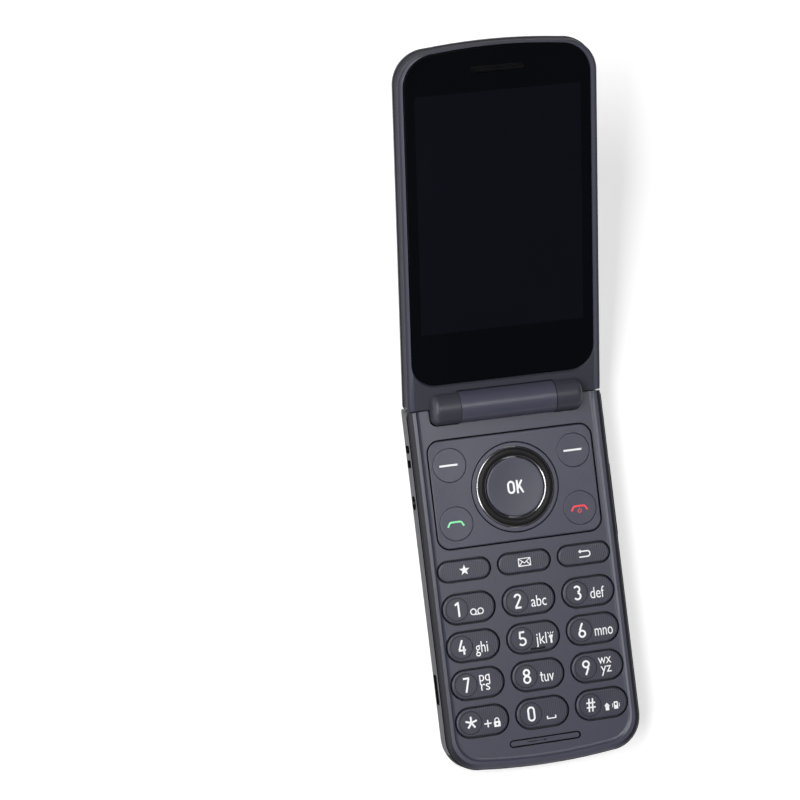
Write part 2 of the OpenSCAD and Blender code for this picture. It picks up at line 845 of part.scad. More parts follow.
module outer_key() {
    color([0.20, 0.20, 0.22]) on_lid() {
        disc(outer_key_r, 0, outer_key_v, back_n, back_n + lid_cover_t + eps);
        disc(outer_key_r + 0.6, 0, outer_key_v, back_n + lid_cover_t + eps, back_n + 1.6);
        disc(plunger_r, 0, outer_key_v, back_n + 1.6 - eps, lid_board_n - key_travel - 0.1);
    }
}

// ---- Keys ----

// Key cap with a bevelled top, a flange below the deck and a plunger over its switch
module pill_key(w, h, x, s) {
    color([0.24, 0.24, 0.27]) on_base() {
        translate([x, s, 0]) hull() {
            pill_block(w, h, 0, 0, deck_low_z - 0.3, key_top - 0.4);
            pill_block(w - 0.9, h - 0.9, 0, 0, key_top - 0.4, key_top);
        }
        pill_block(w + 0.9, h + 0.8, x, s, flange_z, flange_top);
        disc(plunger_r, x, s, plunger_z, flange_z + eps);
    }
}

module number_key(i) {
    pill_key(key_w, key_h, key_x(i), key_s(i));
}

module fn_key(i) {
    pill_key(key_w, fn_key_h, key_x(i), fn_row_s);
}

module round_key(side, s) {
    color([0.30, 0.30, 0.33]) on_base() translate([side * round_key_x, s, 0]) {
        disc(round_key_r, 0, 0, flange_z, round_key_top);
        disc(round_key_r + 0.5, 0, 0, flange_z, flange_top);
        disc(plunger_r, 0, 0, plunger_z, flange_z + eps);
    }
}

// Silicone pad under the navigation ring, one plunger for each direction
module nav_pad() {
    color([0.60, 0.60, 0.61]) on_base() {
        difference() {
            disc(pad_r, 0, nav_s, pad_z, pad_z + pad_t);
            hole(pad_hole_r, 0, nav_s);
        }
        each_nav_switch() disc(pad_plunger_r, 0, 0, pad_z - 0.23, pad_z + 0.1);
    }
}

module nav_ring() {
    color([0.10, 0.10, 0.11]) on_base() translate([0, nav_s, 0]) {
        rotate_extrude($fn = 96) polygon(concat([[ok_r + 0.3, nav_base_z], [ring_r, nav_base_z]],
            ring_crown));
    }
}

module key_ok() {
    color([0.28, 0.28, 0.31]) on_base() translate([0, nav_s, 0]) {
        rotate_extrude($fn = 96) polygon([[0, nav_base_z], [ok_r, nav_base_z], [ok_r, ok_rim_z - 0.2],
            [ok_r - 0.4, ok_rim_z], [0, ok_dish_z]]);
        disc(ok_stem_r, 0, 0, flange_z, nav_base_z + 0.05);
        disc(plunger_r, 0, 0, plunger_z, flange_z + eps);
    }
}

module volume_rocker() {
    color([0.20, 0.20, 0.22]) on_base() translate([0, rocker_s, rocker_z]) rotate([90, 0, 90]) {
        pill_block(rocker_l, rocker_h, 0, 0, rocker_x, half_w + rocker_stand);
        pill_block(rocker_l + 1.4, rocker_h, 0, 0, rocker_x - 0.35, rocker_x + 0.15);
    }
}

front_housing();
mid_frame();
rear_cover();
nav_panel();
keypad_mat();
dome_sheet();
main_board();
shield_can();
battery();
loudspeaker();
camera_module();
camera_ring();
camera_window();
flash_lens();
usb_receptacle();
audio_jack();
microphone();
sim_holder();
vibration_motor();
antenna_carrier();
hinge_cartridge();
hinge_flex();
housing_screws();
lid_frame();
lid_cover();
display_glass();
display_module();
earpiece_grille();
earpiece_receiver();
lid_board();
outer_display();
outer_window();
lid_magnet();
lid_screws();
hinge_shaft();
hinge_pin();
outer_key();
nav_pad();
nav_ring();
key_ok();
round_key(-1, soft_key_s);  // key_soft_left
round_key(1, soft_key_s);  // key_soft_right
round_key(-1, call_key_s);  // key_call
round_key(1, call_key_s);  // key_end
fn_key(0);  // key_favorite
fn_key(1);  // key_message
fn_key(2);  // key_back
for (i = [0:11]) number_key(i);
volume_rocker();
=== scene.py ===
"""Looks of the folding phone: shells, keys, glass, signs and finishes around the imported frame."""

import json
import math
from contextlib import contextmanager

import bmesh
import bpy
from mathutils import Matrix, Vector


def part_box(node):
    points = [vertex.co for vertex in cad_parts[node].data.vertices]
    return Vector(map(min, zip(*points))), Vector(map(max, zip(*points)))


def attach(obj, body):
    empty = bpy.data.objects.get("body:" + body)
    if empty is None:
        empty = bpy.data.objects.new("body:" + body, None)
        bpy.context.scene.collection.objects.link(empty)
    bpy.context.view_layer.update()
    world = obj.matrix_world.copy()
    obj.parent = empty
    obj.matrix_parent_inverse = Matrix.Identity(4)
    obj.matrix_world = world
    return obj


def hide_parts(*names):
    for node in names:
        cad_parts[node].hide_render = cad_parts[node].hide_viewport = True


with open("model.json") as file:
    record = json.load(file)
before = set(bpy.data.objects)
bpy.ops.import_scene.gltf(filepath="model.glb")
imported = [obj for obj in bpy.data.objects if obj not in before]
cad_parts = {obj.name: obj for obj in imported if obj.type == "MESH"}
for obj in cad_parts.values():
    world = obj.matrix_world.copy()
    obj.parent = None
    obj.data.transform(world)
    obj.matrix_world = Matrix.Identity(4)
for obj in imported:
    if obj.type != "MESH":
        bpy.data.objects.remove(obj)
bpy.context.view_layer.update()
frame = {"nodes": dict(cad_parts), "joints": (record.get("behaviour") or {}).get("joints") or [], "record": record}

# Pieces are shaped in millimetres, with the hinge axis at y = 0, and then set on their half of the phone.
MM = 0.001
hinge = next(j for j in frame["joints"] if j["name"] == "clamshell_hinge")
HINGE = Vector(hinge["pos_m"])
FOLD = math.radians(180 - hinge["range_deg"][1])
ON_BASE = Matrix.Translation((0, HINGE.y, 0)) @ Matrix.Scale(MM, 4)
ON_LID = Matrix.Translation(HINGE) @ Matrix.Rotation(FOLD, 4, "X") @ Matrix.Scale(MM, 4)

# Both halves
HALF_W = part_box("mid_frame")[1].x / MM
LENGTH = (HINGE.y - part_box("mid_frame")[0].y) / MM
AXIS_Z = HINGE.z / MM
CORNER_R = 9
CROWN = 1
RIM_STEP = 0.25
PAST_HINGE = 4
END_GAP = 0.45
HINGE_CORNER_R = 1.3
FINE_EDGE = 0.1
NEAR_CORNER_STEPS = 10
FAR_CORNER_STEPS = 14
CROWN_CUTS = 9
TOUCH = 0.001

# Height levels of the base
SEAM_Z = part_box("mid_frame")[0].z / MM
SPLIT_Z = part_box("mid_frame")[1].z / MM
COVER_TOP_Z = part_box("rear_cover")[1].z / MM
DECK_Z = 9.9
CREST_Z = 10.34
NAV_RECESS_Z = 9.3
NAV_TOP_Z = 10.15
COLLAR_TOP_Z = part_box("nav_panel")[1].z / MM
BAND_BREAK_Z = 4.8
PORT_Z = 6.3

# Hinge barrel
BARREL_R = 4.3
KNUCKLE_HALF = 13.3
KNUCKLE_BORE_R = 3
CAP_START = 13.45
CAP_END = 21
CAP_ROUND = 1.8
POCKET_GAP = 0.3
WEB_LENGTH = 6.5
WEB_Z = 6.6

# Keys: the gap round each key, and the spread of the flange that a key's box includes
KEY_GAP = 0.42
ROUND_GAP = 0.1
FLANGE_W = 0.9
FLANGE_H = 0.8
ROUND_FLANGE = 0.5
KEY_FOOT_Z = 8.5
KEY_EDGE = 0.45
DIAL_R = 3.15
DIAL_DEPTH = 0.07
DIAL_LINE = 0.22
DIGIT_SHIFT = 0.15

# Navigation keys
NAV_S = 23.1
RING_R = 10.75
RING_GAP = 0.2
RING_EDGE_Z = 10.25
RING_LINE = 0.2
RING_LINE_RISE = 0.14
ROUND_SIDES = 128
OK_R = 8
OK_GAP = 0.3
OK_EDGE_Z = 10.25
COLLAR_R = 12
COLLAR_LINE = 0.28

# Levels of the lid, from the hinge axis plane
LID_BACK = -8
LID_SEAM = -4.1
GLASS_TOP = -0.7
GLASS_T = 0.9
BEZEL = -1.7

# Openings and small parts of both halves: their place from the hinge axis, levels and radii
TOOL_FOOT_Z = 8
TOOL_TOP_Z = 12
WALL = 1.5
MICROPHONE_S = 91.4
MICROPHONE_R = 0.2
SOCKET_S = 24.1
SOCKET_R = 1.95
SOCKET_END_X = -19.5
VOLUME_S = 29.8
VOLUME_Z = 7.6
VOLUME_FOOT_X = 25.4
CAMERA_S = 13.9
CAMERA_HOLE_R = 5.6
CAMERA_RING_R = 5.35
CAMERA_GLASS_R = 4.7
LENS_RIM_R = 3.4
LENS_R = 1.45
QUICK_KEY_S = 14.2
QUICK_KEY_R = 5.1
EARPIECE_S = 91

# Openings in the side walls: side, place from the hinge axis, length, height, level and corner radius
SIDE_SLOTS = [(-1, 74.4, 8.2, 3.1, PORT_Z, 0.9), (1, VOLUME_S, 20.9, 2.5, VOLUME_Z, 1.2),
              (-1, 9.7, 2.1, 3.6, PORT_Z, 0.5), (-1, 13.6, 2.1, 3.6, PORT_Z, 0.5)]

# Outlines of the deck, the panel and the glasses: half width, near and far end and their corner radii
DECK = (25, PAST_HINGE, -95.9, 0, 7.5)
NAV_PANEL = (22.9, -8.45, -37.4, 3.3, 3.3)
NAV_SEAM = 0.4
MAIN_GLASS = (25.35, 6.5, 97, 6.7, 8.3)
OUTER_GLASS = (19.1, 26.3, 80.1, 2.5, 2.5)
GLASS_GAP = 0.1

# Left, right, near and far side of the two screens
MAIN_SCREEN = (-22.55, 22.55, 20.8, 85.2)
OUTER_SCREEN = (-12.5, 15.5, 34.4, 69.4)

# Groove below the keys and the bar inside it: width and height
GROOVE = (20.1, 2.1)
ISLAND = (19.3, 1.3)

NUMBER_KEYS = ["key_1", "key_2", "key_3", "key_4", "key_5", "key_6", "key_7", "key_8", "key_9",
               "key_star", "key_0", "key_hash"]
FUNCTION_KEYS = ["key_favorite", "key_message", "key_back"]
ROUND_KEYS = ["key_soft_left", "key_soft_right", "key_call", "key_end"]


# ---- Hand tools ----

def clear_hands():
    """Leaves edit mode and deselects everything, so that the next operator acts on its own piece."""
    if bpy.context.mode != "OBJECT":
        bpy.ops.object.mode_set(mode="OBJECT")
    bpy.ops.object.select_all(action="DESELECT")


def take(*pieces):
    """Selects the pieces and makes the first of them active."""
    clear_hands()
    for piece in pieces:
        piece.select_set(True)
    bpy.context.view_layer.objects.active = pieces[0]


@contextmanager
def shaping(piece):
    """Edit mode on one piece."""
    take(piece)
    bpy.ops.object.mode_set(mode="EDIT")
    yield
    bpy.ops.object.mode_set(mode="OBJECT")


def started(name):
    """Names the primitive just added and gives its mesh its place and size."""
    piece = bpy.context.object
    piece.name = name
    piece.data.name = name
    bpy.ops.object.transform_apply()
    return piece


def in_scene(name, data):
    """New object of the scene with the given data."""
    item = bpy.data.objects.new(name, data)
    bpy.context.scene.collection.objects.link(item)
    return item


def pick(piece, kind, test):
    """Selects, in edit mode, the vertices, edges or faces that pass the test."""
    bpy.ops.mesh.select_mode(type=kind)
    bpy.ops.mesh.select_all(action="DESELECT")
    mesh = bmesh.from_edit_mesh(piece.data)
    for part in {"VERT": mesh.verts, "EDGE": mesh.edges, "FACE": mesh.faces}[kind]:
        part.select_set(bool(test(part)))
    mesh.select_flush_mode()
    bmesh.update_edit_mesh(piece.data)


def chosen_vertices(piece):
    return [vertex for vertex in bmesh.from_edit_mesh(piece.data).verts if vertex.select]


def outline(name, half, near, far, near_r, far_r, level=0, crown=0, x=0):
    """A flat face between two places along Y, with round corners and a crowned far edge."""
    clear_hands()
    way = 1 if far > near else -1
    edge = far - way * crown
    bpy.ops.mesh.primitive_plane_add(size=1, location=(x, (near + edge) / 2, level))
    bpy.context.object.scale = (2 * half, abs(edge - near), 1)
    piece = started(name)
    with shaping(piece):
        # Two corners that make a half circle would meet in one point, so each stops a hair short of it
        for place, radius, steps in ((near, near_r, NEAR_CORNER_STEPS), (edge, far_r, FAR_CORNER_STEPS)):
            if radius:
                pick(piece, "VERT", lambda v: abs(v.co.y - place) < TOUCH)
                bpy.ops.mesh.bevel(affect="VERTICES", offset=radius * 0.9999, segments=steps)
        bpy.ops.mesh.select_all(action="SELECT")
        bpy.ops.mesh.remove_doubles(threshold=0.01)
        if crown:
            pick(piece, "EDGE", lambda e: all(abs(v.co.y - edge) < TOUCH for v in e.verts))
            bpy.ops.mesh.subdivide(number_cuts=CROWN_CUTS)
            for vertex in chosen_vertices(piece):
                share = (vertex.co.x - x) / (half - far_r)
                vertex.co.y += way * crown * max(0, 1 - share * share)
    return piece


def widened(shape, gap):
    """Values of an outline that stands the gap away from another one all round."""
    half, near, far, *radii = shape
    way = 1 if far > near else -1
    return half + gap, near - way * gap, far + way * gap, *[radius + gap for radius in radii]


def disc(name, radius, x, y, level, sides=96):
    clear_hands()
    bpy.ops.mesh.primitive_circle_add(vertices=sides, radius=radius, fill_type="NGON",
                                      location=(x, y, level))
    return started(name)


def round_over(inset, rise, steps=5):
    """Steps of a rounded edge that starts upright and ends level."""
    angles = [math.pi / 2 * i / steps for i in range(steps + 1)]
    return [(inset * (math.cos(a) - math.cos(b)), rise * (math.sin(b) - math.sin(a)))
            for a, b in zip(angles, angles[1:])]


def dish(from_r, to_r, depth, steps=4):
    """Steps of a hollow that falls by the depth between two radii."""
    radii = [from_r + (to_r - from_r) * i / steps for i in range(steps + 1)]
    fall = [depth * (1 - (r * r - to_r * to_r) / (from_r * from_r - to_r * to_r)) for r in radii]
    return [(a - b, low - high) for a, b, low, high in zip(radii, radii[1:], fall, fall[1:])]


def grow(piece, *steps, side=1):
    """Pulls the outermost face up (side 1) or down (side -1), and leaves a closed solid. A step is its
    inset, its rise and, where the near end has its own line, that line's place."""
    with shaping(piece):
        mesh = bmesh.from_edit_mesh(piece.data)
        if len(mesh.faces) == 1 and mesh.faces[:][0].normal.z * side < 0:
            bpy.ops.mesh.select_all(action="SELECT")
            bpy.ops.mesh.flip_normals()
        mesh = bmesh.from_edit_mesh(piece.data)
        level = max(side * face.calc_center_median().z for face in mesh.faces)
        pick(piece, "FACE", lambda f: side * f.calc_center_median().z > level - TOUCH
             and abs(f.normal.z) > 0.99)
        for inset, rise, *near in steps:
            if inset:
                bpy.ops.mesh.inset(thickness=abs(inset), depth=rise, use_outset=inset < 0)
            else:
                bpy.ops.mesh.extrude_region_move(TRANSFORM_OT_translate={"value": (0, 0, side * rise)})
            if near:
                moved = chosen_vertices(piece)
                line = max(vertex.co.y for vertex in moved)
                for vertex in moved:
                    if vertex.co.y > line - 0.01:
                        vertex.co.y = near[0]
    return mended(piece)


def mended(piece):
    """Joins doubles and turns every face outwards."""
    with shaping(piece):
        bpy.ops.mesh.select_all(action="SELECT")
        bpy.ops.mesh.remove_doubles(threshold=0.002)
        bpy.ops.mesh.normals_make_consistent(inside=False)
    return piece


def block(name, low, high, half, near, far, near_r=0, far_r=0, crown=0, x=0):
    """Upright block on an outline, closed at both ends."""
    piece = outline(name, half, near, far, near_r, far_r, low, crown, x)
    return grow(piece, (0, high - low))


def pill(name, width, height, x, y, low, *steps):
    """Upright solid with two round ends, grown by the steps."""
    piece = outline(name, width / 2, y - height / 2, y + height / 2, height / 2, height / 2, low, x=x)
    return grow(piece, *steps)


def set_at(piece, place, way=0):
    """Moves the piece just made; one with a way along X has its upright axis turned that way first."""
    if way:
        piece.rotation_euler = (0, math.copysign(math.pi / 2, way), 0)
    piece.location = place
    bpy.ops.object.transform_apply()
    return piece


def rod(name, radius, x0, x1, rim=0, y=0, z=0):
    """Round bar along X; its end at x1 may have a rounded rim."""
    piece = disc(name, radius, 0, 0, 0)
    steps = [(0, abs(x1 - x0) - rim)] + (round_over(rim, rim, 6) if rim else [])
    grow(piece, *steps)
    return set_at(piece, (x0, y, z), x1 - x0)


def bore(radius, x, y, low, depth, sides=96):
    """Cutting tool for a round hole."""
    return grow(disc("bore", radius, x, y, low, sides), (0, depth))


def bar(x0, x1, near, far, low, high):
    """Plain cutting block."""
    return block("bar", low, high, (x1 - x0) / 2, near, far, x=(x0 + x1) / 2)


def side_slot(side, s, length, height, z, corner_r):
    """Cutting tool for an opening with round corners in a side wall."""
    tool = outline("slot", height / 2, -length / 2, length / 2, corner_r, corner_r)
    return set_at(grow(tool, (0, 4)), (side * (HALF_W - 3), -s, z), side)


def joined(*pieces):
    take(*pieces)
    if len(pieces) > 1:
        bpy.ops.object.join()
    return pieces[0]


def drop(piece):
    """Deletes a tool that has done its work."""
    mesh = piece.data
    bpy.data.objects.remove(piece)
    bpy.data.meshes.remove(mesh)


def finish_with(piece, kind, **values):
    """Adds a modifier with the given values and applies it."""
    modifier = piece.modifiers.new(kind.lower(), kind)
    for key, value in values.items():
        setattr(modifier, key, value)
    take(piece)
    bpy.ops.object.modifier_apply(modifier=modifier.name)


def cut(piece, *tools, way="DIFFERENCE"):
    for tool in tools:
        finish_with(piece, "BOOLEAN", object=tool, operation=way, solver="EXACT")
        drop(tool)
    return piece


def add(piece, *others):
    return cut(piece, *others, way="UNION")


def soften(piece, width=FINE_EDGE, segments=2, angle=32, crease=40):
    """Rounds the sharp edges and shades the piece smooth up to the crease angle."""
    finish_with(piece, "BEVEL", width=width, segments=segments, limit_method="ANGLE",
                angle_limit=math.radians(angle), use_clamp_overlap=True, face_strength_mode="FSTR_ALL")
    return smooth(piece, crease)


def smooth(piece, angle=40):
    take(piece)
    bpy.ops.object.shade_smooth_by_angle(angle=math.radians(angle))
    finish_with(piece, "WEIGHTED_NORMAL", keep_sharp=True, use_face_influence=True)
    return piece


def coat(piece, *materials):
    piece.data.materials.clear()
    for material in materials:
        piece.data.materials.append(material)


def paint(piece, index, test):
    """Gives the faces that pass the test, by centre and normal, the piece's material of that index."""
    for face in piece.data.polygons:
        if test(face.center, face.normal):
            face.material_index = index


def near_rim(place, depth):
    """Whether a place lies within the depth of a half's long sides or far end."""
    across = abs(place.x) - (HALF_W - CORNER_R)
    along = abs(place.y) - (LENGTH - CORNER_R - CROWN)
    if across > 0 and along > 0:
        return math.hypot(across, along) > CORNER_R - depth
    bulge = CROWN * max(0, 1 - (place.x / (HALF_W - CORNER_R)) ** 2)
    return across > CORNER_R - depth or along - bulge > CORNER_R - depth


def settle(piece, place, body, slot, *materials, nodes=()):
    """Sets a finished piece on its half and makes it ride; its slot is not used."""
    take(piece)
    piece.matrix_world = place
    bpy.ops.object.transform_apply()
    if materials:
        coat(piece, *materials)
    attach(piece, body)
    if nodes:
        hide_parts(*nodes)
    return piece


def hinge_plane(piece, tilt, axis_z):
    """Cuts a half off at the slanted plane where the two halves meet."""
    side = -1 if tilt > 0 else 1
    normal = Vector((0, math.cos(tilt / 2), math.sin(tilt / 2)))
    with shaping(piece):
        bpy.ops.mesh.select_all(action="SELECT")
        bpy.ops.mesh.bisect(plane_co=Vector((0, 0, axis_z)) + side * normal * END_GAP / 2,
                            plane_no=normal, use_fill=True,
                            clear_outer=side < 0, clear_inner=side > 0)
        pick(piece, "EDGE", lambda e: abs(middle(e).x) > HALF_W - 0.3
             and abs((middle(e) - Vector((0, 0, axis_z))).dot(normal) - side * END_GAP / 2) < 0.01
             and abs(e.verts[0].co.z - e.verts[1].co.z) > 0.05)
        bpy.ops.mesh.bevel(offset=HINGE_CORNER_R, segments=5)
    return piece


def middle(edge):
    return (edge.verts[0].co + edge.verts[1].co) / 2


def place_of(node):
    """Middle of a base node's box across the phone and along it, and the level of its top."""
    low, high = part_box(node)
    return (low.x + high.x) / 2 / MM, ((low.y + high.y) / 2 - HINGE.y) / MM, high.z / MM


def size_of(node):
    """Width, length and height of a node's box."""
    low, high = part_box(node)
    return [(b - a) / MM for a, b in zip(low, high)]


def cap_size(node):
    """Width and length of a pill key's cap, without its flange."""
    width, length, _ = size_of(node)
    return width - FLANGE_W, length - FLANGE_H


# ---- Finishes ----

def node_in(tree, kind, **values):
    node = tree.nodes.new(kind)
    for key, value in values.items():
        setattr(node, key, value)
    return node


def feed(tree, source, target):
    """Links a socket to a socket, or writes a plain value into it."""
    if isinstance(source, bpy.types.NodeSocket):
        tree.links.new(source, target)
    else:
        target.default_value = source


def math_in(tree, operation, *values):
    node = node_in(tree, "ShaderNodeMath", operation=operation)
    for value, socket in zip(values, node.inputs):
        feed(tree, value, socket)
    return node.outputs[0]


def mix_in(tree, share, a, b):
    node = node_in(tree, "ShaderNodeMix", data_type="RGBA")
    feed(tree, share, node.inputs["Factor"])
    feed(tree, a, node.inputs["A"])
    feed(tree, b, node.inputs["B"])
    return node.outputs["Result"]


def noise_in(tree, where, scale, detail=2.0):
    node = node_in(tree, "ShaderNodeTexNoise")
    for label, value in (("Vector", where), ("Scale", scale), ("Detail", detail)):
        feed(tree, value, node.inputs[label])
    return node.outputs["Fac"]


def scaled_in(tree, colour, tone):
    """A colour made brighter or darker by a tone, where 1 leaves it as it is."""
    node = node_in(tree, "ShaderNodeVectorMath", operation="SCALE")
    feed(tree, colour, node.inputs[0])
    feed(tree, tone, node.inputs["Scale"])
    return node.outputs[0]


def ramp_in(tree, value, start, end, low=0.0, high=1.0):
    """Goes smoothly from low to high while the value goes from start to end."""
    node = node_in(tree, "ShaderNodeMapRange", interpolation_type="SMOOTHSTEP")
    sockets = ("Value", value), ("From Min", start), ("From Max", end), ("To Min", low), ("To Max", high)
    for label, number in sockets:
        feed(tree, number, node.inputs[label])
    return node.outputs["Result"]


def place_in(tree, coordinates="Object"):
    return node_in(tree, "ShaderNodeTexCoord").outputs[coordinates]


def axes_in(tree, coordinates="Object"):
    """Outputs X, Y and Z of a place or a direction."""
    node = node_in(tree, "ShaderNodeSeparateXYZ")
    feed(tree, place_in(tree, coordinates), node.inputs[0])
    return node.outputs


def new_group(name, inputs, outputs):
    """Empty node group with named sockets; returns it with its input and output nodes."""
    group = bpy.data.node_groups.new(name, "ShaderNodeTree")
    for label, kind, value in inputs:
        socket = group.interface.new_socket(label, in_out="INPUT", socket_type=kind)
        socket.default_value = value
    for label, kind in outputs:
        group.interface.new_socket(label, in_out="OUTPUT", socket_type=kind)
    return group, node_in(group, "NodeGroupInput"), node_in(group, "NodeGroupOutput")


def grain_group():
    """Moulded or painted surface: uneven tone, uneven polish and a fine grain."""
    group, given, out = new_group(
        "painted_grain",
        [("Colour", "NodeSocketColor", (0.1, 0.1, 0.12, 1)), ("Roughness", "NodeSocketFloat", 0.4),
         ("Grain scale", "NodeSocketFloat", 5000.0), ("Unevenness", "NodeSocketFloat", 0.15)],
        [("Colour", "NodeSocketColor"), ("Roughness", "NodeSocketFloat"), ("Height", "NodeSocketFloat")])
    where = place_in(group)
    grain = noise_in(group, where, given.outputs["Grain scale"], 3.0)
    cloud = noise_in(group, where, CLOUD_SCALE)
    centred = math_in(group, "SUBTRACT", grain, 0.5)
    tone = math_in(group, "MULTIPLY_ADD", math_in(group, "SUBTRACT", cloud, 0.5),
                   given.outputs["Unevenness"], 1.0)
    speck = math_in(group, "MULTIPLY_ADD", centred, GRAIN_TONE, tone)
    polish = math_in(group, "MULTIPLY_ADD", centred, GRAIN_POLISH, given.outputs["Roughness"])
    feed(group, scaled_in(group, given.outputs["Colour"], speck), out.inputs["Colour"])
    feed(group, polish, out.inputs["Roughness"])
    feed(group, grain, out.inputs["Height"])
    return group


def fleck_group():
    """Scattered bright flecks of a glitter paint."""
    group, given, out = new_group(
        "paint_flecks",
        [("Fleck scale", "NodeSocketFloat", 2600.0), ("Share", "NodeSocketFloat", 0.10)],
        [("Mask", "NodeSocketFloat")])
    cells = node_in(group, "ShaderNodeTexVoronoi", feature="F1")
    feed(group, place_in(group), cells.inputs["Vector"])
    feed(group, given.outputs["Fleck scale"], cells.inputs["Scale"])
    split = node_in(group, "ShaderNodeSeparateColor")
    feed(group, cells.outputs["Color"], split.inputs["Color"])
    rare = math_in(group, "LESS_THAN", split.outputs[0], given.outputs["Share"])
    near = math_in(group, "LESS_THAN", cells.outputs["Distance"], FLECK_R)
    feed(group, math_in(group, "MULTIPLY", rare, near), out.inputs["Mask"])
    return group


# Strength of the patterns in a finish, and their relief in metres
CLOUD_SCALE = 45.0
GRAIN_TONE = 0.12
GRAIN_POLISH = 0.1
GRAIN_DEPTH = 4e-6
FLECK_R = 0.32
FLECK_METAL = 0.6
RIB_PITCH = 0.56 * MM
RIB_CONTRAST = 0.75
RIB_GRAIN = 0.15
RIB_DEPTH = 16e-6
GLITTER_GRAIN = 4200.0
GLITTER_CLOUD = 0.12
GLITTER_DEPTH = 5e-6
DOT_PITCH = 0.7 * MM
DOT_CONTRAST = 0.6
DOT_DEPTH = 12e-6
# Distances from the middle between which the dots grow and the rim's painted shade deepens
DOT_REACH = (0.010, 0.020)
EDGE_REACH = (0.017, 0.0255)
EDGE_SHADE = 0.24

GRAIN = grain_group()
FLECKS = fleck_group()


def new_material(name, metallic=0.0, **constants):
    material = bpy.data.materials.new(name)
    material.use_nodes = True
    tree = material.node_tree
    shader = tree.nodes["Principled BSDF"]
    shader.inputs["Metallic"].default_value = metallic
    for label, value in constants.items():
        shader.inputs[label.replace("_", " ")].default_value = value
    return material, tree, shader


def place_group(tree, group, **values):
    node = node_in(tree, "ShaderNodeGroup", node_tree=group)
    for label, value in values.items():
        feed(tree, value, node.inputs[label.replace("_", " ")])
    return node


def bump(tree, shader, height, depth):
    node = node_in(tree, "ShaderNodeBump")
    node.inputs["Strength"].default_value = 1.0
    node.inputs["Distance"].default_value = depth
    feed(tree, height, node.inputs["Height"])
    feed(tree, node.outputs["Normal"], shader.inputs["Normal"])


def painted(name, colour, roughness, unevenness=0.15, depth=GRAIN_DEPTH, metallic=0.0, **constants):
    """Satin or polished finish with grain and uneven tone."""
    material, tree, shader = new_material(name, metallic, **constants)
    base = place_group(tree, GRAIN, Colour=(*colour, 1), Roughness=roughness, Unevenness=unevenness)
    finish_shader(tree, shader, base, base.outputs["Colour"], base.outputs["Height"], depth)
    return material


def finish_shader(tree, shader, base, colour, height, depth):
    """Gives a shader its colour and relief, and the polish of its painted grain."""
    feed(tree, colour, shader.inputs["Base Color"])
    feed(tree, base.outputs["Roughness"], shader.inputs["Roughness"])
    bump(tree, shader, height, depth)


def glitter(name, colour, fleck_colour, roughness):
    """Dark satin cover with bright flecks in its paint."""
    material, tree, shader = new_material(name)
    base = place_group(tree, GRAIN, Colour=(*colour, 1), Roughness=roughness, Grain_scale=GLITTER_GRAIN,
                       Unevenness=GLITTER_CLOUD)
    flecks = place_group(tree, FLECKS).outputs["Mask"]
    tone = mix_in(tree, flecks, base.outputs["Colour"], (*fleck_colour, 1))
    feed(tree, math_in(tree, "MULTIPLY", flecks, FLECK_METAL), shader.inputs["Metallic"])
    finish_shader(tree, shader, base, tone, base.outputs["Height"], GLITTER_DEPTH)
    return material


def patterned(name, colour, roughness, pattern, depth, **constants):
    """Satin paint whose tone and relief follow a pattern."""
    material, tree, shader = new_material(name, **constants)
    base = place_group(tree, GRAIN, Colour=(*colour, 1), Roughness=roughness)
    tone, height = pattern(tree, base.outputs["Height"])
    finish_shader(tree, shader, base, scaled_in(tree, base.outputs["Colour"], tone), height, depth)
    return material


def ribs(tree, grain):
    """Fine ribs across a key cap, with lighter and darker bands along them as painted light and shade besides
    their relief.
    """
    wave = node_in(tree, "ShaderNodeTexWave", wave_type="BANDS", bands_direction="X", wave_profile="SIN")
    feed(tree, place_in(tree), wave.inputs["Vector"])
    # At a scale of 1 the bands of this wave are pi / 10 apart
    wave.inputs["Scale"].default_value = math.pi / 10 / RIB_PITCH
    fine = math_in(tree, "MULTIPLY", grain, RIB_GRAIN)
    # Lighter and darker bands along the ribs are painted light and shade
    tone = math_in(tree, "MULTIPLY_ADD", wave.outputs["Fac"], RIB_CONTRAST, 1 - RIB_CONTRAST / 2)
    return tone, math_in(tree, "MULTIPLY_ADD", wave.outputs["Fac"], 1.0, fine)


def dots(tree, _grain):
    """Fine dots that grow stronger towards the panel's two ends."""
    axes = axes_in(tree)
    waves = []
    for way in ("ADD", "SUBTRACT"):
        slanted = math_in(tree, way, axes["X"], axes["Y"])
        waves.append(math_in(tree, "SINE", math_in(tree, "MULTIPLY", slanted, math.tau / DOT_PITCH)))
    reach = ramp_in(tree, math_in(tree, "ABSOLUTE", axes["X"]), *DOT_REACH)
    height = math_in(tree, "MULTIPLY", math_in(tree, "MULTIPLY", *waves), reach)
    return math_in(tree, "MULTIPLY_ADD", height, DOT_CONTRAST, 1.0), height


def side_shade(tree, grain):
    """Painted shade that grows darker towards the two long sides."""
    across = math_in(tree, "ABSOLUTE", axes_in(tree)["X"])
    return ramp_in(tree, across, *EDGE_REACH, 1.0, EDGE_SHADE), grain


# Clear coats and black surfaces have a relief far finer than that of the paint
POLISHED = 5e-7
GLASSY = 1e-7

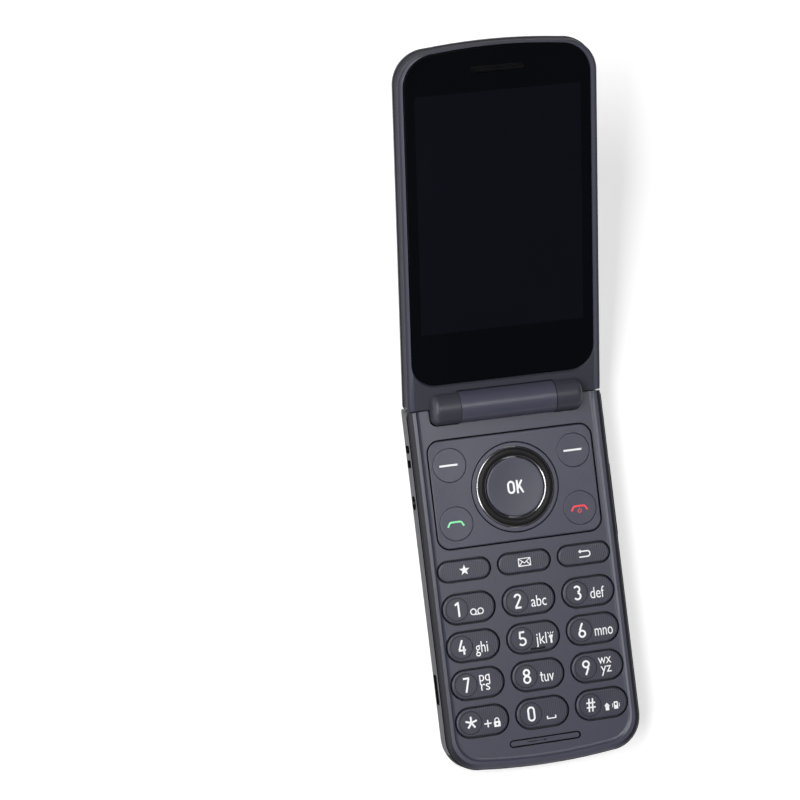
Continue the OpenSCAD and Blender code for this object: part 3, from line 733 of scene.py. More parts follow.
housing_paint = painted("housing_paint", (0.048, 0.048, 0.074), 0.33)
# A lighter copy of the housing paint, as a painted highlight on the rim's crest, the lid's slope and the knuckle
crest_painted_highlight = painted("rim_crest_painted_highlight", (0.058, 0.058, 0.086), 0.33)
# Painted shade on the rim's outer slope, darker towards the long sides
rim_painted_shade = patterned("rim_edge_painted_shade", (0.074, 0.074, 0.098), 0.4, side_shade, GRAIN_DEPTH,
                       Specular_IOR_Level=0.15)
band_paint = painted("side_band_paint", (0.088, 0.088, 0.098), 0.5, Specular_IOR_Level=0.08)
frame_paint = painted("lid_side_paint", (0.020, 0.020, 0.029), 0.5, Specular_IOR_Level=0.06)
cover_paint = glitter("cover_glitter_paint", (0.036, 0.036, 0.042), (0.15, 0.15, 0.165), 0.42)
lid_paint = painted("lid_paint", (0.040, 0.040, 0.054), 0.38, Specular_IOR_Level=0.35)
panel_paint = patterned("navigation_panel_dots", (0.048, 0.048, 0.076), 0.33, dots, DOT_DEPTH)
round_cap_paint = painted("round_cap_paint", (0.048, 0.048, 0.076), 0.33)
# Black painted shade for the openings, grooves and gaps, where only shade falls
painted_shade_black = painted("shadow_gap_black", (0.003, 0.003, 0.004), 0.7, Specular_IOR_Level=0.1)
cap_paint = patterned("key_cap_ribs", (0.034, 0.034, 0.054), 0.33, ribs, RIB_DEPTH)
dial_paint = painted("key_dial_paint", (0.034, 0.034, 0.054), 0.33)
# Painted shade along the edge of each key's dial
painted_shade_dial_line = painted("key_dial_painted_shade_line", (0.008, 0.008, 0.012), 0.5, Specular_IOR_Level=0.3)
ok_paint = painted("ok_key_paint", (0.044, 0.044, 0.068), 0.33)
gloss_black = painted("gloss_black", (0.010, 0.010, 0.012), 0.10, unevenness=0.3, depth=POLISHED)
ring_satin = painted("ring_dark_satin", (0.011, 0.010, 0.011), 0.34, depth=1e-6, Specular_IOR_Level=0.14)
ring_bright = painted("ring_polished_line", (0.60, 0.60, 0.62), 0.24, metallic=1.0, depth=POLISHED)
glass_black = painted("black_printed_glass", (0.0022, 0.0026, 0.0036), 0.045, unevenness=0.3, depth=GLASSY,
                      Specular_IOR_Level=0.12)
screen_dark = painted("unlit_screen", (0.0040, 0.0046, 0.0075), 0.05, unevenness=0.3, depth=GLASSY,
                      Specular_IOR_Level=0.12)
window_glass = painted("outer_window_glass", (0.046, 0.048, 0.058), 0.06, unevenness=0.3, depth=GLASSY)
outer_screen = painted("outer_screen_unlit", (0.080, 0.066, 0.073), 0.08, unevenness=0.3, depth=GLASSY)
grille_paint = painted("grille_mesh_paint", (0.004, 0.004, 0.005), 0.35, Specular_IOR_Level=0.15)
dark_nickel = painted("dark_nickel", (0.05, 0.05, 0.054), 0.35, metallic=1.0)
white_print = painted("white_print", (0.88, 0.88, 0.90), 0.5)
green_print = painted("green_print", (0.26, 0.85, 0.42), 0.5)
red_print = painted("red_print", (0.90, 0.06, 0.08), 0.5)
flash_white = painted("flash_lens_milky", (0.75, 0.75, 0.70), 0.25)
lens_grey = painted("camera_window_dark", (0.030, 0.030, 0.036), 0.08, depth=2e-7)
# Painted reflection on the lens pupil
painted_reflection_lens = painted("lens_pupil_painted_reflection", (0.40, 0.40, 0.44), 0.15, depth=2e-7)

INNER_FINISHES = {
    "silicone": painted("silicone_dark_grey", (0.05, 0.05, 0.055), 0.55),
    "circuit": painted("solder_mask_green", (0.02, 0.10, 0.05), 0.35, unevenness=0.5),
    "steel": painted("pressed_steel", (0.50, 0.50, 0.51), 0.30, metallic=1.0),
    "inner_plastic": painted("inner_black_plastic", (0.030, 0.030, 0.030), 0.5),
    "cell": painted("battery_wrap", (0.05, 0.05, 0.06), 0.45),
    "copper": painted("gold_plating", (0.45, 0.22, 0.08), 0.30, metallic=1.0),
    "housing": housing_paint, "frame": frame_paint, "cover": cover_paint, "key_plastic": dial_paint,
    "gloss_black": gloss_black, "glass_black": glass_black, "lens": flash_white,
}
# The audio jack gets the black painted shade of the gaps
OWN_FINISHES = {"microphone": grille_paint, "usb_receptacle": dark_nickel, "audio_jack": painted_shade_black}


# ---- Base shells ----

# Rims and walls, as steps of inset and rise
HOUSING_RIM = [(0, 0.18), (-RIM_STEP, 0), (0, 0.06), (0.12, 0.2), (0.25, 0.3), (0.9, 0.38), (0.95, 0.07)]
DECK_WALL = [(0.5, 0.36), (0.3, 0.08), (0.3, 0.04)]
DECK_WALL_H = 0.48
LID_RIM = [(0, 0.25), (-RIM_STEP, 0), (0, 2.8), *round_over(0.3, 0.35, 4), (0.5, 0.06), (1.1, 0.42)]
LID_BACK_SIDE = [(0, 0.05), (0.05, 0.8), (0.35, 1.0), (0.7, 1.0), (1.1, 0.7), (1.4, 0.3)]
COVER_SIDE = [(0, 0.05), (0.125, 0.7, PAST_HINGE), (0.4, 1.0, PAST_HINGE), (0.4, 0.7, 2), (0.4, 0.5, -0.2),
              (0.7, 0.6, -2.6), (1.2, 0.55, -5.6), (0.9, 0.25, -8.5)]


def pill_key_tool():
    """Cutting tool for the openings of all pill keys."""
    tools = []
    for node in NUMBER_KEYS + FUNCTION_KEYS:
        x, y, _ = place_of(node)
        width, length = cap_size(node)
        tools.append(pill("opening", width + 2 * KEY_GAP, length + 2 * KEY_GAP, x, y, TOOL_FOOT_Z,
                          (0, TOOL_TOP_Z - TOOL_FOOT_Z)))
    return joined(*tools)


def round_key_tools():
    """Cutting tools for the openings of the round keys and of the ring."""
    tools = []
    for node in ROUND_KEYS:
        x, y, _ = place_of(node)
        radius = size_of(node)[0] / 2 - ROUND_FLANGE + ROUND_GAP
        tools.append(bore(radius, x, y, TOOL_FOOT_Z, TOOL_TOP_Z - TOOL_FOOT_Z))
    return joined(*tools), bore(RING_R + RING_GAP, 0, -NAV_S, TOOL_FOOT_Z, TOOL_TOP_Z - TOOL_FOOT_Z)


def pocket_tools():
    """Space in which the two end knuckles of the lid turn."""
    return [rod("pocket", BARREL_R + POCKET_GAP, side * (KNUCKLE_HALF - 0.02), side * (CAP_END + 0.35),
                CAP_ROUND + 0.2, z=AXIS_Z) for side in (-1, 1)]


def microphone_groove():
    """Cutting tool for the groove round the bar below the keys."""
    groove = pill("groove", *GROOVE, 0, -MICROPHONE_S, DECK_Z - 0.55, (0, 3))
    island = pill("island", *ISLAND, 0, -MICROPHONE_S, TOOL_FOOT_Z, (0, DECK_Z - 0.2 - TOOL_FOOT_Z))
    return cut(groove, island)


def keypad_housing():
    piece = outline("keypad_housing", HALF_W - RIM_STEP, PAST_HINGE, -LENGTH + RIM_STEP, 0,
                    CORNER_R - RIM_STEP, SPLIT_Z, CROWN)
    grow(piece, *HOUSING_RIM)
    hinge_plane(piece, FOLD, AXIS_Z)
    recess = outline("recess", *DECK, TOOL_TOP_Z, CROWN)
    grow(recess, (0, TOOL_TOP_Z - DECK_Z - DECK_WALL_H), *DECK_WALL, side=-1)
    nav_recess = block("nav_recess", NAV_RECESS_Z, TOOL_TOP_Z, *widened(NAV_PANEL, NAV_SEAM))
    groove = microphone_groove()
    port = bore(MICROPHONE_R, 0, -MICROPHONE_S, TOOL_FOOT_Z, 4, 24)
    cut(piece, recess, nav_recess, pill_key_tool(), *round_key_tools(), groove, port)
    add(piece, block("web", WEB_Z, DECK_Z, KNUCKLE_HALF, 0, -WEB_LENGTH))
    past_knuckle = KNUCKLE_HALF + 1
    cut(piece, *pocket_tools(), rod("bore", BARREL_R - 0.4, -past_knuckle, past_knuckle, z=AXIS_Z))
    soften(piece, crease=12)
    coat(piece, housing_paint, painted_shade_black, crest_painted_highlight, rim_painted_shade)
    # Painted shade, black, in the openings, then a painted highlight on the flat crest of the rim and painted
    # shade, darker towards the long sides, on the slope outside it
    crest_foot = CREST_Z - 0.04
    paint(piece, 1, lambda c, n: c.z < DECK_Z - 0.21 and abs(c.x) < 24.1 and -95 < c.y < -7.5)
    paint(piece, 2, lambda c, n: c.z > crest_foot and n.z > 0.9)
    paint(piece, 3, lambda c, n: c.z < crest_foot and n.z < 0.97 and near_rim(c, 1.4))
    knuckle = rod("knuckle", BARREL_R, -KNUCKLE_HALF, KNUCKLE_HALF, z=AXIS_Z)
    cut(knuckle, rod("bore", KNUCKLE_BORE_R, -past_knuckle, past_knuckle, z=AXIS_Z))
    soften(knuckle)
    # The knuckle gets the painted highlight of the rim's crest
    coat(knuckle, crest_painted_highlight)
    joined(piece, knuckle)
    return settle(piece, ON_BASE, "base", "housing", nodes=["front_housing"])


def side_band():
    piece = outline("side_band", HALF_W, PAST_HINGE, -LENGTH, 0, CORNER_R, SPLIT_Z, CROWN)
    grow(piece, (0, SPLIT_Z - BAND_BREAK_Z), (0.067, BAND_BREAK_Z - SEAM_Z), side=-1)
    hinge_plane(piece, FOLD, AXIS_Z)
    inside = block("inside", 6.7, TOOL_TOP_Z, HALF_W - WALL, -6.2, -LENGTH + WALL, 1, 7.8, CROWN)
    ledge = block("ledge", 3, 7.7, 23.9, -6.2, -94.6, 1, 6.4, CROWN)
    socket = rod("socket", SOCKET_R, -HALF_W - 1, SOCKET_END_X, y=-SOCKET_S, z=PORT_Z)
    bay = bar(-26, SOCKET_END_X, -21, -27.2, 3.8, TOOL_TOP_Z)
    cut(piece, inside, ledge, *pocket_tools(), socket, bay,
        rod("pocket", BARREL_R + POCKET_GAP, -KNUCKLE_HALF - 0.14, KNUCKLE_HALF + 0.14, z=AXIS_Z),
        bar(-KNUCKLE_HALF - 0.1, KNUCKLE_HALF + 0.1, 3, -WEB_LENGTH - 0.15, WEB_Z - 0.15, TOOL_TOP_Z),
        *[side_slot(*opening) for opening in SIDE_SLOTS])
    soften(mended(piece))
    coat(piece, band_paint, painted_shade_black)
    # Painted shade, black, inside the openings
    paint(piece, 1, lambda c, n: abs(c.x) < HALF_W - 0.15 and abs(n.x) < 0.9 and -96 < c.y < -3)
    return settle(piece, ON_BASE, "base", "frame", nodes=["mid_frame"])


def battery_cover():
    piece = outline("battery_cover", HALF_W - 0.075, PAST_HINGE, -LENGTH, 0, CORNER_R, COVER_TOP_Z, CROWN)
    grow(piece, *COVER_SIDE, side=-1)
    hollow = outline("hollow", HALF_W - WALL, -7.6, -LENGTH + WALL, 3.6, 8, SEAM_Z + 0.02, CROWN)
    grow(hollow, (0, 0.3), (0.1, 0.92), (1.0, 1.1), (2.0, 0.9), side=-1)
    cut(piece, hollow)
    hinge_plane(piece, FOLD, AXIS_Z)
    slots = [slot_across(x, -CAMERA_S, 5.4, 1.45, -1, 4) for x in (9.6, 12.8, 16)]
    cut(piece, joined(*slots), slot_across(-10.6, -CAMERA_S, 4.9, 3.4, -1, 4),
        bore(CAMERA_HOLE_R, 0, -CAMERA_S, -1, 3.6),
        pill("notch", 11, 2.4, 6, -LENGTH - 0.3, SEAM_Z - 1.2, (0, 3)))
    soften(piece)
    return settle(piece, ON_BASE, "base", "cover", cover_paint, nodes=["rear_cover"])


def slot_across(x, y, length, width, low, high):
    """Cutting tool for a slot with round ends that runs along Y."""
    tool = outline("slot", width / 2, y - length / 2, y + length / 2, width / 2, width / 2, low, x=x)
    return grow(tool, (0, high - low))


def navigation_panel():
    piece = outline("navigation_panel", *NAV_PANEL, NAV_RECESS_Z)
    grow(piece, (0, NAV_TOP_Z - NAV_RECESS_Z - 0.2), *round_over(0.3, 0.2, 3))
    cut(piece, bore(COLLAR_R + COLLAR_LINE, 0, -NAV_S, NAV_TOP_Z - 0.2, 1))
    collar = disc("collar", COLLAR_R, 0, -NAV_S, NAV_RECESS_Z)
    grow(collar, (0, COLLAR_TOP_Z - NAV_RECESS_Z - 0.1), *round_over(0.25, 0.1, 3))
    add(piece, collar)
    cut(piece, *round_key_tools())
    soften(piece, 0.08)
    coat(piece, panel_paint, painted_shade_black, round_cap_paint)
    # Painted shade, black, on the side walls, and a plain collar
    paint(piece, 1, lambda c, n: c.z < NAV_TOP_Z - 0.17)
    paint(piece, 2, lambda c, n: c.z > NAV_TOP_Z + 0.01)
    return settle(piece, ON_BASE, "base", "housing", nodes=["nav_panel"])


# ---- Keys ----

def pill_key(node):
    """Key cap with a rounded edge and, at its left end, the smooth round dial that carries the sign."""
    x, y, top = place_of(node)
    width, height = cap_size(node)
    piece = pill(node + "_cap", width, height, x, y, KEY_FOOT_Z,
                 (0, top - KEY_FOOT_Z - 0.4), *round_over(KEY_EDGE, 0.4, 5))
    coat(piece, cap_paint, dial_paint, painted_shade_dial_line)
    if node in NUMBER_KEYS:
        dial_x = x - (width - height) / 2
        floor = top - DIAL_DEPTH
        cut(piece, bore(DIAL_R, dial_x, y, floor, 1))

        def reach(place):
            return math.hypot(place.x - dial_x, place.y - y)
        with shaping(piece):
            pick(piece, "EDGE", lambda e: abs(middle(e).z - top) < 0.01
                 and abs(reach(middle(e)) - DIAL_R) < 0.05)
            bpy.ops.mesh.bevel(offset=0.05, segments=2)
            pick(piece, "FACE", lambda f: abs(f.calc_center_median().z - floor) < 0.005)
            bpy.ops.mesh.inset(thickness=DIAL_LINE)
        paint(piece, 1, lambda c, n: c.z < top - 0.01 and n.z > 0.9 and reach(c) < DIAL_R)
        # Painted shade, dark, in a thin ring along the dial's edge
        paint(piece, 2, lambda c, n: abs(c.z - floor) < 0.005 and reach(c) > DIAL_R - DIAL_LINE)
    smooth(piece)
    return settle(piece, ON_BASE, node, "key_plastic", nodes=[node])


def round_key(node):
    x, y, top = place_of(node)
    radius = size_of(node)[0] / 2 - ROUND_FLANGE
    piece = disc(node + "_cap", radius, x, y, KEY_FOOT_Z)
    grow(piece, (0, top - KEY_FOOT_Z - 0.1), *round_over(0.15, 0.1, 3), *dish(radius - 0.15, 1, 0.03))
    smooth(piece)
    return settle(piece, ON_BASE, node, "key_plastic", round_cap_paint, nodes=[node])


def direction_ring():
    """Rounded ring with a thin polished line along its outer and its inner edge."""
    low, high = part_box("nav_ring")
    foot = low.z / MM
    inner = OK_R + OK_GAP
    crest = (RING_R + inner) / 2
    half = RING_R - RING_LINE - crest
    rise = high.z / MM - RING_EDGE_Z - RING_LINE_RISE
    line = [(RING_R, 0)]
    for i in range(13):
        turn = math.radians(15 * i)
        line.append((crest + half * math.cos(turn), RING_LINE_RISE + rise * math.sin(turn)))
    line.append((inner, 0))
    steps = [(a[0] - b[0], b[1] - a[1]) for a, b in zip(line, line[1:])]
    piece = disc("direction_ring", RING_R, 0, -NAV_S, foot, ROUND_SIDES)
    grow(piece, (0, RING_EDGE_Z - foot), *steps)
    cut(piece, bore(inner + 0.01, 0, -NAV_S, foot - 1, 4, ROUND_SIDES))
    coat(piece, ring_satin, ring_bright)

    def bright(centre, normal):
        radius = math.hypot(centre.x, centre.y + NAV_S)
        return normal.z > 0.5 and not inner + RING_LINE < radius < RING_R - RING_LINE
    paint(piece, 1, bright)
    smooth(piece, 25)
    return settle(piece, ON_BASE, "nav_ring", "gloss_black", nodes=["nav_ring"])


def ok_cap():
    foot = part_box("nav_ring")[0].z / MM
    piece = disc("ok_key_cap", OK_R, 0, -NAV_S, foot, ROUND_SIDES)
    grow(piece, (0, OK_EDGE_Z - foot), *round_over(0.4, 0.3, 5), *dish(OK_R - 0.4, 0.8, 0.15, 6))
    smooth(piece)
    return settle(piece, ON_BASE, "key_ok", "key_plastic", ok_paint, nodes=["key_ok"])


def volume_key():
    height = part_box("volume_rocker")[1].x / MM - VOLUME_FOOT_X
    piece = outline("volume_key", 1.1, -10.25, 10.25, 1.1, 1.1)
    grow(piece, (0, height - 0.25), *round_over(0.25, 0.25, 4))
    set_at(piece, (VOLUME_FOOT_X, -VOLUME_S, VOLUME_Z), 1)
    smooth(piece)
    return settle(piece, ON_BASE, "volume_rocker", "frame", band_paint, nodes=["volume_rocker"])


# ---- Lid ----

def lid_shell():
    piece = outline("lid_shell", HALF_W - RIM_STEP, -PAST_HINGE, LENGTH - RIM_STEP, 0,
                    CORNER_R - RIM_STEP, LID_SEAM, CROWN)
    grow(piece, *LID_RIM)
    hinge_plane(piece, -FOLD, 0)
    seat = outline("seat", *widened(MAIN_GLASS, GLASS_GAP), BEZEL, CROWN)
    grow(seat, (0, GLASS_TOP - BEZEL + 0.1), (-0.25, 0.33), (0, 2))
    hollow = block("hollow", LID_BACK, BEZEL - 0.9, 25.9, 7.5, 96.4, WALL, 7.4, CROWN)
    cut(piece, seat, hollow, bar(-24.4, 24.4, 15.8, 88.2, LID_BACK, 0), bar(-7, 7, 88.2, 93.8, LID_BACK, 0),
        rod("pocket", BARREL_R + POCKET_GAP, -CAP_START, CAP_START))
    caps = [rod("cap", BARREL_R, side * CAP_START, side * CAP_END, CAP_ROUND) for side in (-1, 1)]
    add(piece, *caps)
    cut(piece, rod("shaft_hole", 1.85, -19.6, 0), rod("pin_hole", 2.95, 0, 19.6))
    soften(piece)
    coat(piece, lid_paint, frame_paint, crest_painted_highlight)
    # Side walls, then a painted highlight on the slope between them and the face
    paint(piece, 1, lambda c, n: n.z < 0.96 and near_rim(c, 0.3))
    paint(piece, 2, lambda c, n: 0.5 < n.z < 0.96 and near_rim(c, 2.2) and not near_rim(c, 0.75))
    return settle(piece, ON_LID, "lid", "housing", nodes=["lid_frame"])


def lid_back():
    piece = outline("lid_back", HALF_W, -PAST_HINGE, LENGTH, 0, CORNER_R, LID_SEAM - 0.05, CROWN)
    grow(piece, *LID_BACK_SIDE, side=-1)
    hinge_plane(piece, -FOLD, 0)
    hollow = outline("hollow", HALF_W - 1.4, 6.5, LENGTH - 1.4, 3.6, 8, LID_SEAM + 0.02, CROWN)
    grow(hollow, (0, 0.3), (0.1, 0.7), (0.7, 1.0), (1.8, 0.8), side=-1)
    foot = LID_BACK - 1
    cut(piece, hollow, block("seat", foot, LID_BACK + 0.95, *widened(OUTER_GLASS, GLASS_GAP)),
        bar(-16.6, 16.6, 31, 76, foot, 0), bore(QUICK_KEY_R + 0.15, 0, QUICK_KEY_S, foot, 4),
        rod("pocket", BARREL_R + POCKET_GAP, -CAP_END - 0.35, CAP_END + 0.35))
    soften(piece)
    return settle(piece, ON_LID, "lid", "cover", cover_paint, nodes=["lid_cover"])


def mark_screen(piece, screen, side, *materials):
    """Splits a glass along the sides of its screen and gives the screen its own material."""
    left, right, near, far = screen
    with shaping(piece):
        for place, way in (((0, near, 0), (0, 1, 0)), ((0, far, 0), (0, 1, 0)),
                           ((left, 0, 0), (1, 0, 0)), ((right, 0, 0), (1, 0, 0))):
            bpy.ops.mesh.select_all(action="SELECT")
            bpy.ops.mesh.bisect(plane_co=place, plane_no=way)
    coat(piece, *materials)
    paint(piece, 1, lambda c, n: side * n.z > 0.9 and left < c.x < right and near < c.y < far)
    smooth(piece)


def main_glass():
    piece = outline("main_glass", *MAIN_GLASS, GLASS_TOP - GLASS_T, CROWN)
    grow(piece, (0, GLASS_T - 0.15), *round_over(0.15, 0.15, 3))
    cut(piece, pill("slot", 14.5, 1.8, 0, EARPIECE_S, -3, (0, 4)))
    mark_screen(piece, MAIN_SCREEN, 1, glass_black, screen_dark)
    return settle(piece, ON_LID, "lid", "glass_black", nodes=["display_glass"])


def outer_glass():
    piece = outline("outer_glass", *OUTER_GLASS, LID_BACK + 0.9)
    grow(piece, (0, 0.8), *round_over(0.1, 0.1, 3), side=-1)
    mark_screen(piece, OUTER_SCREEN, -1, window_glass, outer_screen)
    return settle(piece, ON_LID, "lid", "glass_black", nodes=["outer_window"])


# ---- Camera, flash and sound ----

def camera_trim():
    height = size_of("camera_ring")[2]
    piece = disc("camera_trim", CAMERA_RING_R, 0, -CAMERA_S, place_of("camera_ring")[2])
    grow(piece, (0, height - 0.15), *round_over(0.15, 0.15, 3), side=-1)
    cut(piece, bore(CAMERA_GLASS_R + 0.05, 0, -CAMERA_S, -1, 4))
    soften(piece, 0.06)
    return settle(piece, ON_BASE, "base", "frame", ring_satin, nodes=["camera_ring"])


def camera_glass():
    """Dark window with a stepped lens rim and the pupil in its middle, whose light grey is a painted reflection.
    """
    height = size_of("camera_window")[2]
    piece = disc("camera_glass", CAMERA_GLASS_R, 0, -CAMERA_S, place_of("camera_window")[2])
    grow(piece, (0, height - 0.1), *round_over(0.1, 0.1, 2),
         (CAMERA_GLASS_R - 0.1 - LENS_RIM_R, 0), (0.12, -0.1), (0.5, 0), (0.1, -0.06),
         (LENS_RIM_R - 0.72 - LENS_R, 0), (0.05, -0.05), *dish(LENS_R - 0.05, 0.3, -0.08), side=-1)
    coat(piece, glass_black, lens_grey, painted_reflection_lens)
    # The lens rim in dark grey, and the pupil in light grey as a painted reflection
    for index, radius in ((1, LENS_RIM_R), (2, LENS_R)):
        paint(piece, index, lambda c, n: n.z < -0.3 and math.hypot(c.x, c.y + CAMERA_S) < radius)
    smooth(piece)
    return settle(piece, ON_BASE, "base", "gloss_black", nodes=["camera_window"])


def flash_cover():
    """Milky lens with stepped rings over the lamp."""
    x, y, top = place_of("flash_lens")
    width, length, height = size_of("flash_lens")
    piece = outline("flash_cover", width / 2, y - length / 2, y + length / 2, width / 2, width / 2, top, x=x)
    grow(piece, (0, height - 0.15), *round_over(0.15, 0.15, 3),
         (0.25, 0), (0.08, -0.05), (0.2, 0), (0.08, 0.05), (0.2, 0), (0.08, -0.05), side=-1)
    smooth(piece)
    return settle(piece, ON_BASE, "base", "lens", flash_white, nodes=["flash_lens"])


def quick_key():
    """Round key on the back of the lid, with a slightly hollow face."""
    piece = disc("quick_key", QUICK_KEY_R, 0, QUICK_KEY_S, LID_BACK + 2)
    grow(piece, (0, 1.75), *round_over(0.25, 0.25, 4), *dish(QUICK_KEY_R - 0.25, 0.8, 0.12), side=-1)
    smooth(piece)
    return settle(piece, ON_LID, "outer_key", "key_plastic", ring_satin, nodes=["outer_key"])


def earpiece_mesh():
    """Sunk grille with rows of fine holes inside a rounded rim."""
    piece = pill("earpiece_mesh", 14.4, 1.7, 0, EARPIECE_S, GLASS_TOP - 0.6,
                 (0, 0.3), (0.12, 0.05), (0.1, -0.12))
    holes = []
    for row in range(3):
        shift = 0.21 * (row % 2)
        for i in range(31 - row % 2):
            holes.append(bore(0.13, -6.3 + 0.42 * i + shift, EARPIECE_S + 0.36 * (row - 1), -2, 2, 8))
    cut(piece, joined(*holes))
    smooth(piece)
    return settle(piece, ON_LID, "lid", "frame", grille_paint, nodes=["earpiece_grille"])


# ---- Signs ----

# Print: how far it stands out, how deep it is set in, and the font's own height of small letters
PRINT_T = 0.02
PRINT_SINK = 0.005
LETTER_SHARE = 0.449
LETTER_H = 1.95
TWO_LINE_H = 1.72
BASELINE = -2.0
DIGIT_STROKE = 0.52
FINE_STROKE = 0.32

# Letters with their width, place from the key's middle, baseline and height
LETTERS = {"key_2": [("abc", 4.3, 2.65, BASELINE, LETTER_H)],
           "key_3": [("def", 4.0, 2.4, BASELINE, LETTER_H)],
           "key_4": [("ghi", 3.45, 2.2, BASELINE, LETTER_H)],
           "key_5": [("jkl", 3.0, 2.1, BASELINE, LETTER_H)],
           "key_6": [("mno", 5.1, 2.95, BASELINE, LETTER_H)],
           "key_7": [("pq", 2.9, 1.95, 0.45, TWO_LINE_H), ("rs", 2.5, 1.95, BASELINE, TWO_LINE_H)],
           "key_8": [("uv", 2.75, 3.0, BASELINE, LETTER_H)],
           "key_9": [("wx", 3.7, 2.2, 0.45, TWO_LINE_H), ("yz", 3.0, 2.35, -1.9, TWO_LINE_H)]}


def set_print(piece, x, y, level):
    """Lays a sign on a face, a hair deep in it."""
    return set_at(piece, (x, y, level - PRINT_SINK))


def written(text, width, height, x, baseline, level):
    """Printed word in small letters, with its middle at x."""
    clear_hands()
    bpy.ops.object.text_add()
    word = bpy.context.object
    word.data.body = text
    word.data.extrude = 0.5
    word.data.resolution_u = 5
    bpy.ops.object.convert(target="MESH")
    word = bpy.context.object
    left = min(vertex.co.x for vertex in word.data.vertices)
    squeeze = width / word.dimensions.x
    word.scale = (squeeze, height / LETTER_SHARE, PRINT_T + PRINT_SINK)
    bpy.ops.object.transform_apply()
    return set_print(word, x - left * squeeze - width / 2, baseline, level + (PRINT_T + PRINT_SINK) / 2)


def stroke(width, x, y, level, *points):
    """Printed line of even width through the points, which are counted from x and y."""
    clear_hands()
    curve = bpy.data.curves.new("stroke", "CURVE")
    curve.dimensions = "3D"
    curve.bevel_depth = width / 2
    curve.bevel_resolution = 1
    curve.use_fill_caps = True
    line = curve.splines.new("POLY")
    line.points.add(len(points) - 1)
    for point, (across, along) in zip(line.points, points):
        point.co = (across, along, 0, 1)
    take(in_scene("stroke", curve))
    bpy.ops.object.convert(target="MESH")
    bpy.ops.object.shade_flat()
    piece = bpy.context.object
    piece.scale.z = 2 * PRINT_T / width
    return set_print(piece, x, y, level + PRINT_SINK)


def arc(x, y, radius, start, end, steps=8):
    """Points along a round bend, by its angles in degrees."""
    angles = [math.radians(start + (end - start) * i / steps) for i in range(steps + 1)]
    return [(x + radius * math.cos(a), y + radius * math.sin(a)) for a in angles]


def printed_block(width, height, corner_r, x, y, level):
    spot = outline("spot", width / 2, -height / 2, height / 2, corner_r, corner_r)
    grow(spot, (0, PRINT_T + PRINT_SINK))
    return set_print(spot, x, y, level)


# Digits as lines, counted from the middle of the dial
DIGITS = {"key_1": [[(0.3, -2.0), (0.3, 2.0)], [(0.3, 1.8), (-0.65, 1.15)]],
          "key_2": [[*arc(0, 1.0, 0.78, 175, -35, 10), (-0.7, -1.6)], [(-0.85, -1.75), (0.85, -1.75)]],
          "key_3": [arc(-0.05, 0.97, 0.78, 150, -80, 10), arc(-0.05, -0.88, 0.87, 80, -150, 10)],
          "key_4": [[(0.15, 1.95), (-0.85, -0.7)], [(-1.0, -0.8), (0.95, -0.8)], [(0.42, 0.3), (0.42, -2.0)]],
          "key_5": [[(0.75, 1.75), (-0.75, 1.75)], [(-0.55, 1.75), (-0.65, 0.05)],
                    arc(-0.05, -0.77, 0.95, 128, -148, 12)],
          "key_6": [[(0.3, 1.95), (-0.6, 0.0)], arc(0, -0.93, 0.84, 160, 520, 18)],
          "key_7": [[(-0.85, 1.75), (0.85, 1.75)], [(0.7, 1.75), (-0.3, -2.0)]],
          "key_8": [arc(0, 0.98, 0.76, -90, 270, 16), arc(0, -0.88, 0.88, 90, 450, 16)],
          "key_9": [[(-0.3, -1.95), (0.6, 0.0)], arc(0, 0.93, 0.84, -20, 340, 18)],
          "key_0": [[*arc(0, 0.95, 0.82, 0, 180, 10), *arc(0, -0.95, 0.82, 180, 360, 10), (0.82, 0.95)]]}
OK_WORD = [[*arc(-1.2, 0.7, 0.8, 0, 180, 10), *arc(-1.2, -0.7, 0.8, 180, 360, 10), (-0.4, 0.7)],
           [(0.55, -1.78), (0.55, 1.78)], [(0.6, -0.45), (1.95, 1.7)], [(1.05, 0.3), (2.1, -1.75)]]

# Signs made of lines, each with its width and its points from the middle of the sign
HASH = [(0.42, [(-0.64, -1.8), (-0.36, 1.8)]), (0.42, [(0.36, -1.8), (0.64, 1.8)]),
        (0.42, [(-1.25, -0.62), (1.25, -0.62)]), (0.42, [(-1.25, 0.62), (1.25, 0.62)])]
ASTERISK = [(DIGIT_STROKE, [(0, 0), tip]) for tip in arc(0, 0, 1.65, 90, 378, 4)]
VOICEMAIL = [(FINE_STROKE, arc(-1, 0, 0.76, -90, 270, 16)), (FINE_STROKE, arc(1, 0, 0.76, -90, 270, 16)),
             (FINE_STROKE, [(-1.1, -0.76), (1.1, -0.76)])]
LETTER_T = [(FINE_STROKE, [(0, 2.65), (0, 0.45), *arc(0.35, 0.45, 0.3, 200, 280, 4)]),
            (FINE_STROKE, [(-0.4, 1.85), (0.55, 1.85)])]
TORCH = [(0.55, [(-0.42, 0.45), (0.42, 0.45), (0.12, -0.2), (-0.12, -0.2), (-0.42, 0.45)]),
         (0.55, [(0, 0.4), (0, -1.55)]), (0.2, [(-0.45, 0.95), (-0.8, 1.45)]), (0.2, [(0, 0.95), (0, 1.45)]),
         (0.2, [(0.45, 0.95), (0.8, 1.45)])]
PLUS = [(0.36, [(-1.0, 0), (1.0, 0)]), (0.36, [(0, -1.0), (0, 1.0)])]
SHACKLE = [(0.28, [(-0.55, 0), *arc(0, 0.45, 0.55, 180, 0, 8), (0.55, 0)])]
SPACE = [(0.4, [(-1.15, 0.45), (-1.15, -0.25), (1.15, -0.25), (1.15, 0.45)])]
ARROW_ROOF = [(0.4, [(-0.62, 0.15), (0, 0.8), (0.62, 0.15), (-0.62, 0.15)])]
BUZZ_LINES = [(0.16, [(-0.95, -0.5), (-0.95, 0.55)]), (0.16, [(0.95, -0.5), (0.95, 0.55)])]
